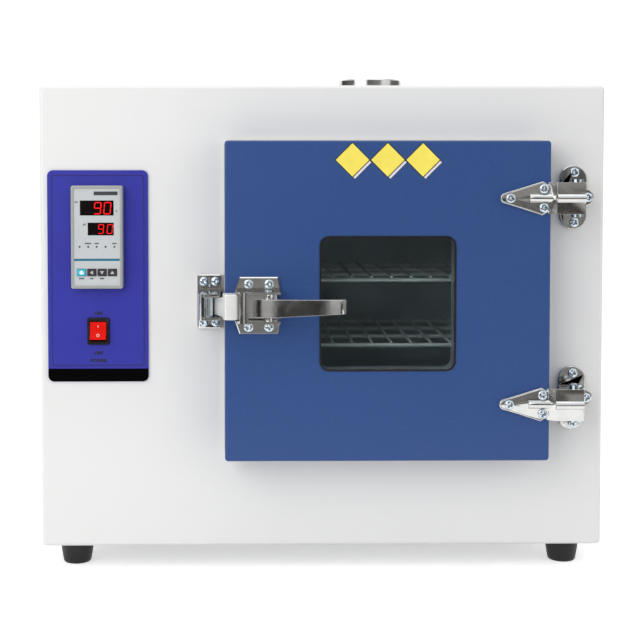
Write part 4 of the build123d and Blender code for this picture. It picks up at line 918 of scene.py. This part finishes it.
class HingeOperator(bpy.types.Operator):
    """Plated strap hinges with their raised rims"""

    bl_idname = "oven.hinges"
    bl_label = "Hinges"

    def execute(self, context):
        sizes = settings()[0]
        for which in HINGES:
            dress(f"hinge_strap_{which}", "chrome", sizes.edge_break, "door",
                  shape=lambda form, z=HINGE_Z[which]: self.crown(form, z, sizes.crown))
            dress(f"hinge_bracket_{which}", "chrome", sizes.edge_break, "root")
            self.rim(which, sizes)
        coat("roller_steel", "hinge_pins")
        return {"FINISHED"}

    def crown(self, form, middle, fall):
        """Split a strap's faces along its ridge and let them fall away to both sides."""
        bmesh.ops.bisect_plane(
            form, geom=form.verts[:] + form.edges[:] + form.faces[:], dist=1e-6,
            plane_co=(0.0, 0.0, middle), plane_no=(0.0, 0.0, 1.0))
        leaf_back = DOOR_FACE - 1.2 * MM
        for vert in form.verts:
            if vert.co.y < leaf_back:
                vert.co.y += abs(vert.co.z - middle) * fall

    def rim(self, which, sizes):
        """A bead round the leaf, from one neck over the tip to the other."""
        low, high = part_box(f"hinge_strap_{which}")
        z = HINGE_Z[which]
        face = DOOR_FACE - STRAP_THICK * MM
        inset = sizes.rim_radius
        tip = LEAF_TIP_RADIUS * MM
        tip_x = low.x + tip
        half = (high.z - low.z) / 2
        shoulder = LEAF_SHOULDER_X * MM
        slope = math.atan2(half - tip, shoulder - tip_x)
        outline = [(LEAF_NECK_X * MM, LEAF_NECK_HALF * MM - inset),
                   (shoulder + 1.2 * MM, half - 1.6 * MM - inset),
                   (shoulder - 0.4 * MM, half - inset)]
        neck = [(x, -up) for x, up in reversed(outline)]
        for step in range(9):
            angle = math.radians(90.0) + slope + (math.pi - 2 * slope) * step / 8
            outline.append((tip_x + (tip - inset) * math.cos(angle),
                            (tip - inset) * math.sin(angle)))
        path = [Vector((x, face + abs(up) * sizes.crown, z + up)) for x, up in outline + neck]
        form = bmesh.new()
        tube(form, path, inset)
        piece(f"strap_rim_{which}", form, "chrome", "door", crease=50.0)


class LatchOperator(bpy.types.Operator):
    """Plated lever latch on the door: body, pin, bolt and lever"""

    bl_idname = "oven.latch"
    bl_label = "Latch"

    def execute(self, context):
        sizes = settings()[0]
        dress("latch_body", "chrome", sizes.edge_break, "door")
        dress("latch_bolt", "bolt_steel", 3.0 * MM, "latch_bolt", 4)
        dress("latch_handle", "chrome", sizes.edge_break * 1.8, "latch_handle", 3)
        dress("latch_pin", "roller_steel", sizes.edge_break, "door")
        return {"FINISHED"}


class StrikeOperator(bpy.types.Operator):
    """Roller strike on the cabinet"""

    bl_idname = "oven.strike"
    bl_label = "Strike"

    def execute(self, context):
        sizes, _, lights = settings()
        dress("strike_body", "chrome", sizes.edge_break, "root")
        dress("strike_roller", "roller_steel", sizes.edge_break, "strike_roller")
        coat("roller_steel", "strike_pin")
        rivet = sizes.rivet_radius
        form = bmesh.new()
        turned(form, [(0.0, -0.2 * MM), (rivet, -0.2 * MM), (rivet, 0.3 * MM),
                      (rivet * 0.7, 0.9 * MM), (0.0, 1.2 * MM)],
               lights.turn // 2,
               front((STRIKE_LOW.x + STRIKE_HIGH.x) / 2, PANEL_FACE - PLATE_THICK * MM,
                     STRIKE_HIGH.z - 10.5 * MM))
        piece("strike_rivet", form, "screw_zinc", "root", crease=CREASE)
        return {"FINISHED"}


class ScrewOperator(bpy.types.Operator):
    """Cross-recessed pan-head screws in the hinges, latch, strike and rear cover"""

    bl_idname = "oven.screws"
    bl_label = "Screws"

    def execute(self, context):
        sizes = settings()[0]
        cabinet, door = [], []
        bracket_face = PANEL_FACE - BRACKET_THICK * MM
        strap_face = DOOR_FACE - STRAP_THICK * MM
        for z in HINGE_Z.values():
            cabinet += [(x * MM, bracket_face, z + up * MM) for x, up in BRACKET_SCREWS]
            door += [(x * MM, strap_face + abs(up) * MM * sizes.crown, z + up * MM)
                     for x, up in STRAP_SCREWS]
        for group, (columns, half), face in (
            (cabinet, STRIKE_SCREWS, PANEL_FACE), (door, LATCH_SCREWS, DOOR_FACE),
        ):
            group += [(x * MM, face - PLATE_THICK * MM, LATCH_Z + up * MM)
                      for up in (half, -half) for x in columns]
        self.heads("cabinet_screw_heads", cabinet, "root", "cabinet_screws")
        self.heads("door_screw_heads", door, "door", "door_screws")
        low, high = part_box("rear_cover_screws")
        inset = sizes.screw_radius
        columns = (low.x + inset, 0.0, high.x - inset)
        rows = (low.z + inset, (low.z + high.z) / 2, high.z - inset)
        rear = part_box("rear_cover")[1].y
        places = [(x, rear, z) for x in columns for z in rows if (x, z) != (0.0, rows[1])]
        self.heads("rear_screw_heads", places, "root", "rear_cover_screws", -90.0)
        return {"FINISHED"}

    def heads(self, name, places, body, replaced, tilt=90.0):
        """One piece holding every head of a group, each turned differently."""
        sizes, _, lights = settings()
        form = bmesh.new()
        for index, spot in enumerate(places):
            screw_head(form, front(*spot, tilt), sizes, lights.turn, 0.9 * index)
        piece(name, form, "screw_zinc", body, [replaced], 45.0)


SWITCH_WORDS = (("ON", 16.6), ("OFF", -21.0), ("POWER", -28.0))  # and mm above the switch


class FasciaOperator(bpy.types.Operator):
    """Control panel film: pressed line, black band and the switch's words"""

    bl_idname = "oven.fascia"
    bl_label = "Fascia print"

    def execute(self, context):
        sizes = settings()[0]
        coat("fascia_film", "control_fascia")
        lift = sizes.print_lift
        face = FASCIA_LOW.y
        width = FASCIA_HIGH.x - FASCIA_LOW.x
        x = (FASCIA_LOW.x + FASCIA_HIGH.x) / 2
        top = FASCIA_HIGH.z - sizes.groove_inset - 0.9 * MM
        bottom = FASCIA_LOW.z + sizes.band_height + sizes.band_gap
        outer = (width - 2 * sizes.groove_inset, top - bottom)
        line = sizes.groove_width
        form = bmesh.new()
        ring(form, rounded(*outer, sizes.groove_corner),
             rounded(outer[0] - 2 * line, outer[1] - 2 * line, sizes.groove_corner - line),
             lift, front(x, face, (top + bottom) / 2))
        piece("fascia_pressed_line", form, "pressed_line", "root")
        form = bmesh.new()
        corner = 5.4 * MM
        slab(form, rounded(width - 0.1 * MM, sizes.band_height, (corner, corner, 0.0, 0.0)),
             lift, front(x, face, FASCIA_LOW.z + sizes.band_height / 2 + 0.05 * MM))
        piece("fascia_black_band", form, "black_band", "root")
        form = bmesh.new()
        for text, z in SWITCH_WORDS:
            words(form, text, sizes.word_height, front(ROCKER.x, face, ROCKER.z + z * MM),
                  lift, 1.08, sizes.word_weight)
        piece("fascia_words", form, "ink", "root")
        return {"FINISHED"}


UPPER_DIGIT = 11.5  # height of an upper digit, in mm, for which the stroke is given
READINGS = (  # digit, left edge, width, low and high edge, in mm from the middle
    ("9", -3.1, 6.9, 21.3, 32.8), ("0", 6.0, 6.9, 21.3, 32.8),
    ("9", 0.8, 5.4, 3.2, 12.2), ("0", 9.1, 5.4, 3.2, 12.2),
)
SEGMENTS = {"0": "abcdef", "9": "abcdfg"}
# The controller's print, in mm from its middle: dots, words, and rows of blank letters.
INDICATORS = (-16.0, -8.0, -0.2, 8.1, 16.3)
TINY_WORDS = (("PV", -18.8, 32.4), ("SV", -11.3, 11.7), ("C", 18.5, 24.2))
TINY_ROWS = ((-8.2, -5.8, 6), (-0.2, -5.8, 4), (16.3, -5.8, 4), (-14.4, -38.5, 5),
             (-4.8, -38.5, 3), (4.7, -38.5, 4))
BARS = {  # each bar's two ends as shares of width and height: X, Z, X, Z
    "a": (0, 1, 1, 1), "b": (1, 0.5, 1, 1), "c": (1, 0, 1, 0.5), "d": (0, 0, 1, 0),
    "e": (0, 0, 0, 0.5), "f": (0, 0.5, 0, 1), "g": (0, 0.5, 1, 0.5),
}


class ControllerOperator(bpy.types.Operator):
    """Temperature controller: bezel, film, readings, marks and keys"""

    bl_idname = "oven.controller"
    bl_label = "Controller"

    def execute(self, context):
        sizes = settings()[0]
        dress("controller_housing", "bezel_plastic", sizes.plastic_break, "root")
        coat("face_film", "controller_face")
        dress("display_lenses", "lens", 0.12 * MM, "root")
        self.readings(sizes)
        self.marks(sizes)
        self.keys(sizes)
        return {"FINISHED"}

    def readings(self, sizes):
        """Slanted seven-bar digits: the measured value above the setting."""
        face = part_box("display_lenses")[0].y
        form = bmesh.new()
        for text, left, width, low, high in READINGS:
            share = (high - low) / UPPER_DIGIT
            self.digit(form, text, CONTROL.x + left * MM, width * MM, CONTROL.z + low * MM,
                       (high - low) * MM, sizes.digit_stroke * share, face, sizes.print_lift)
        piece("display_digits", form, "lit_digit", "root")

    def digit(self, form, text, left, width, low, tall, stroke, face, lift):
        """One digit from its lit bars, leaning to the right."""
        lean = 0.09
        gap = stroke * 0.12
        inner = stroke / 2
        for name in SEGMENTS[text]:
            x0, x1 = (inner + share * (width - stroke) for share in BARS[name][::2])
            z0, z1 = (inner + share * (tall - stroke) for share in BARS[name][1::2])
            along = Vector((x1 - x0, z1 - z0)).normalized()
            across = Vector((-along.y, along.x)) * inner
            start = Vector((x0, z0)) + along * gap
            end = Vector((x1, z1)) - along * gap
            points = [
                start, start + along * inner - across, end - along * inner - across, end,
                end - along * inner + across, start + along * inner + across]
            outline = [(left + p.x + lean * p.y, low + p.y) for p in points]
            slab(form, outline, lift, front(0.0, face, 0.0))

    def marks(self, sizes):
        """Dark strip, indicator dots, coloured line and small lettering."""
        lift = sizes.print_lift
        face = CONTROL_LOW.y
        width = CONTROL_HIGH.x - CONTROL_LOW.x

        def at(x, z):
            """A place on the face, from its middle."""
            return front(CONTROL.x + x * MM, face, CONTROL.z + z * MM)

        lines = bmesh.new()
        slab(lines, rounded(width - 0.8 * MM, sizes.line_height, 0.0), lift,
             at(0.0, -21.0))
        piece("controller_line", lines, "teal_line", "root")
        form = bmesh.new()
        slab(form, rounded(22.2 * MM, 3.5 * MM, 0.6 * MM), lift, at(8.4, 40.8))
        for x in INDICATORS:
            slab(form, circle(sizes.lamp_radius, 20), lift, at(x, -8.9))
        tiny = sizes.tiny_height
        for text, x, z in TINY_WORDS:
            words(form, text, tiny, at(x, z), lift, 1.0, sizes.word_weight / 2)
        letter = Vector((0.85, 1.25)) * MM
        for x, z, count in TINY_ROWS:
            for index in range(count):
                slab(form, rounded(*letter, 0.15 * MM, 2), lift,
                     at(x + index - (count - 1) / 2, z))
        piece("controller_lettering", form, "lettering", "root")

    def keys(self, sizes):
        """Rubber keys, each with its mark riding on it."""
        for which in KEYS:
            node = f"key_{which}"
            look, slot = (("key_cyan", "key_cyan") if which == "set"
                          else ("key_rubber", "key_black"))
            dress(node, look, 0.5 * MM, node, 3)
            low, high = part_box(node)
            middle = (low + high) / 2
            where = front(middle.x, low.y, middle.z)
            form = bmesh.new()
            if which == "set":
                slab(form, circle(1.9 * MM, 24), sizes.print_lift, where)
                slab(form, [(0.2 * MM, -1.0 * MM), (2.6 * MM, -1.6 * MM), (1.8 * MM, 0.4 * MM)],
                     sizes.print_lift * 0.9, where)
                piece("key_set_mark", form, "key_blob", node)
                continue
            turn = {"shift": 90.0, "down": 180.0, "up": 0.0}[which]
            arrow = [(0.0, 1.7), (-1.9, -1.3), (1.9, -1.3)]
            slab(form, [(u * MM, v * MM) for u, v in arrow], sizes.print_lift,
                 where @ Matrix.Rotation(math.radians(turn), 4, "Z"))
            piece(f"{node}_mark", form, "key_mark", node)


class RockerOperator(bpy.types.Operator):
    """Power rocker with its on and off marks"""

    bl_idname = "oven.rocker"
    bl_label = "Rocker switch"

    def execute(self, context):
        sizes = settings()[0]
        dress("rocker_housing", "switch_black", sizes.plastic_break, "root")
        dress("rocker_switch", "rocker_red", 0.4 * MM, "rocker_switch", 3)
        form = bmesh.new()
        for mark, z in (("I", 4.9), ("O", -3.3)):
            point, normal = surface_point("rocker_switch", ROCKER.x, ROCKER.z + z * MM)
            where = front(*point, 90.0 - math.degrees(math.atan2(normal.z, -normal.y)))
            if mark == "I":
                slab(form, rounded(0.6 * MM, 2.2 * MM, 0.2 * MM, 3), sizes.print_lift, where)
            else:
                ring(form, circle(1.45 * MM, 32), circle(0.9 * MM, 32), sizes.print_lift, where)
        piece("rocker_marks", form, "rocker_mark", "rocker_switch")
        return {"FINISHED"}


LABEL_COLUMNS, LABEL_HEIGHT = (-32.6, -0.4, 31.7), 129.4  # mm from the door's middle


class LabelOperator(bpy.types.Operator):
    """Three blank diamond labels on the door"""

    bl_idname = "oven.labels"
    bl_label = "Blank labels"

    def execute(self, context):
        sizes = settings()[0]
        half, edge, strip = sizes.label_half, sizes.label_edge, sizes.label_strip
        lift = sizes.print_lift
        side = half * math.sqrt(2.0)
        quarter = Matrix.Rotation(math.radians(45.0), 4, "Z")
        border, yellow, pale = bmesh.new(), bmesh.new(), bmesh.new()
        for x in LABEL_COLUMNS:
            centre = (DOOR.x + x * MM, DOOR_FACE, DOOR.z + LABEL_HEIGHT * MM)
            turned_to = front(*centre) @ quarter
            slab(border, rounded(side, side, 0.5 * MM, 3), lift, turned_to)
            beside = turned_to @ Matrix.Translation((0.0, -(side + strip) / 2 + edge * 0.5, 0.0))
            slab(border, rounded(side - edge, strip, 0.3 * MM, 3), lift * 0.7, beside)
            inner = side - 2 * edge
            slab(yellow, rounded(inner, inner, 0.3 * MM, 3), lift * 1.6, turned_to)
            slab(pale, rounded(side - 2.6 * edge, strip - 1.4 * edge, 0.2 * MM, 3),
                 lift * 1.6, beside)
        piece("label_borders", border, "label_edge", "door")
        piece("label_faces", yellow, "label_yellow", "door")
        piece("label_strips", pale, "label_strip", "door")
        return {"FINISHED"}


class VentOperator(bpy.types.Operator):
    """Roof vent: flange, turning cap and duct"""

    bl_idname = "oven.vent"
    bl_label = "Vent"

    def execute(self, context):
        sizes = settings()[0]
        dress("vent_flange", "vent_plate", sizes.edge_break, "root")
        dress("vent_cap", "vent_plate", sizes.edge_break, "vent_cap")
        coat("chamber_steel", "vent_duct")
        return {"FINISHED"}


class ChamberOperator(bpy.types.Operator):
    """Stainless chamber with its racks, shelves, heater and probe"""

    bl_idname = "oven.chamber"
    bl_label = "Chamber"

    def execute(self, context):
        coat("chamber_steel", "chamber_liner", "floor_plate")
        coat("frame_steel", "shelf_rack_left", "shelf_rack_right")
        coat("wire_steel", "shelf_upper", "shelf_lower")
        coat("heater_steel", "heater_element", "temperature_probe")
        return {"FINISHED"}


class OvenPanel(bpy.types.Panel):
    """Lists the oven's operators and settings"""

    bl_idname = "VIEW3D_PT_oven"
    bl_label = "Drying oven"
    bl_space_type = "VIEW_3D"
    bl_region_type = "UI"
    bl_category = "Oven"

    def draw(self, context):
        for made in OPERATORS:
            self.layout.operator(made.bl_idname)
        for group in settings():
            box = self.layout.box()
            for name in group.__annotations__:
                box.prop(group, name)


OPERATORS = (
    StageOperator, CabinetOperator, DoorOperator, HingeOperator, LatchOperator, StrikeOperator,
    ScrewOperator, FasciaOperator, ControllerOperator, RockerOperator, LabelOperator,
    VentOperator, ChamberOperator,
)
GROUPS = {"oven_sizes": OvenSizes, "oven_colours": OvenColours, "oven_lights": OvenLights}


def register():
    """Registers the settings, the operators and the panel."""
    for name, kind in GROUPS.items():
        bpy.utils.register_class(kind)
        setattr(bpy.types.Scene, name, PointerProperty(type=kind))
    for kind in (*OPERATORS, OvenPanel):
        bpy.utils.register_class(kind)


def unregister():
    """Removes what register added."""
    for kind in (OvenPanel, *reversed(OPERATORS)):
        bpy.utils.unregister_class(kind)
    for name, kind in GROUPS.items():
        delattr(bpy.types.Scene, name)
        bpy.utils.unregister_class(kind)


def main():
    """Dresses the oven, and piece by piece."""
    register()
    for made in OPERATORS:
        _, name = made.bl_idname.split(".")
        getattr(bpy.ops.oven, name)()


if __name__ == "__main__":
    main()
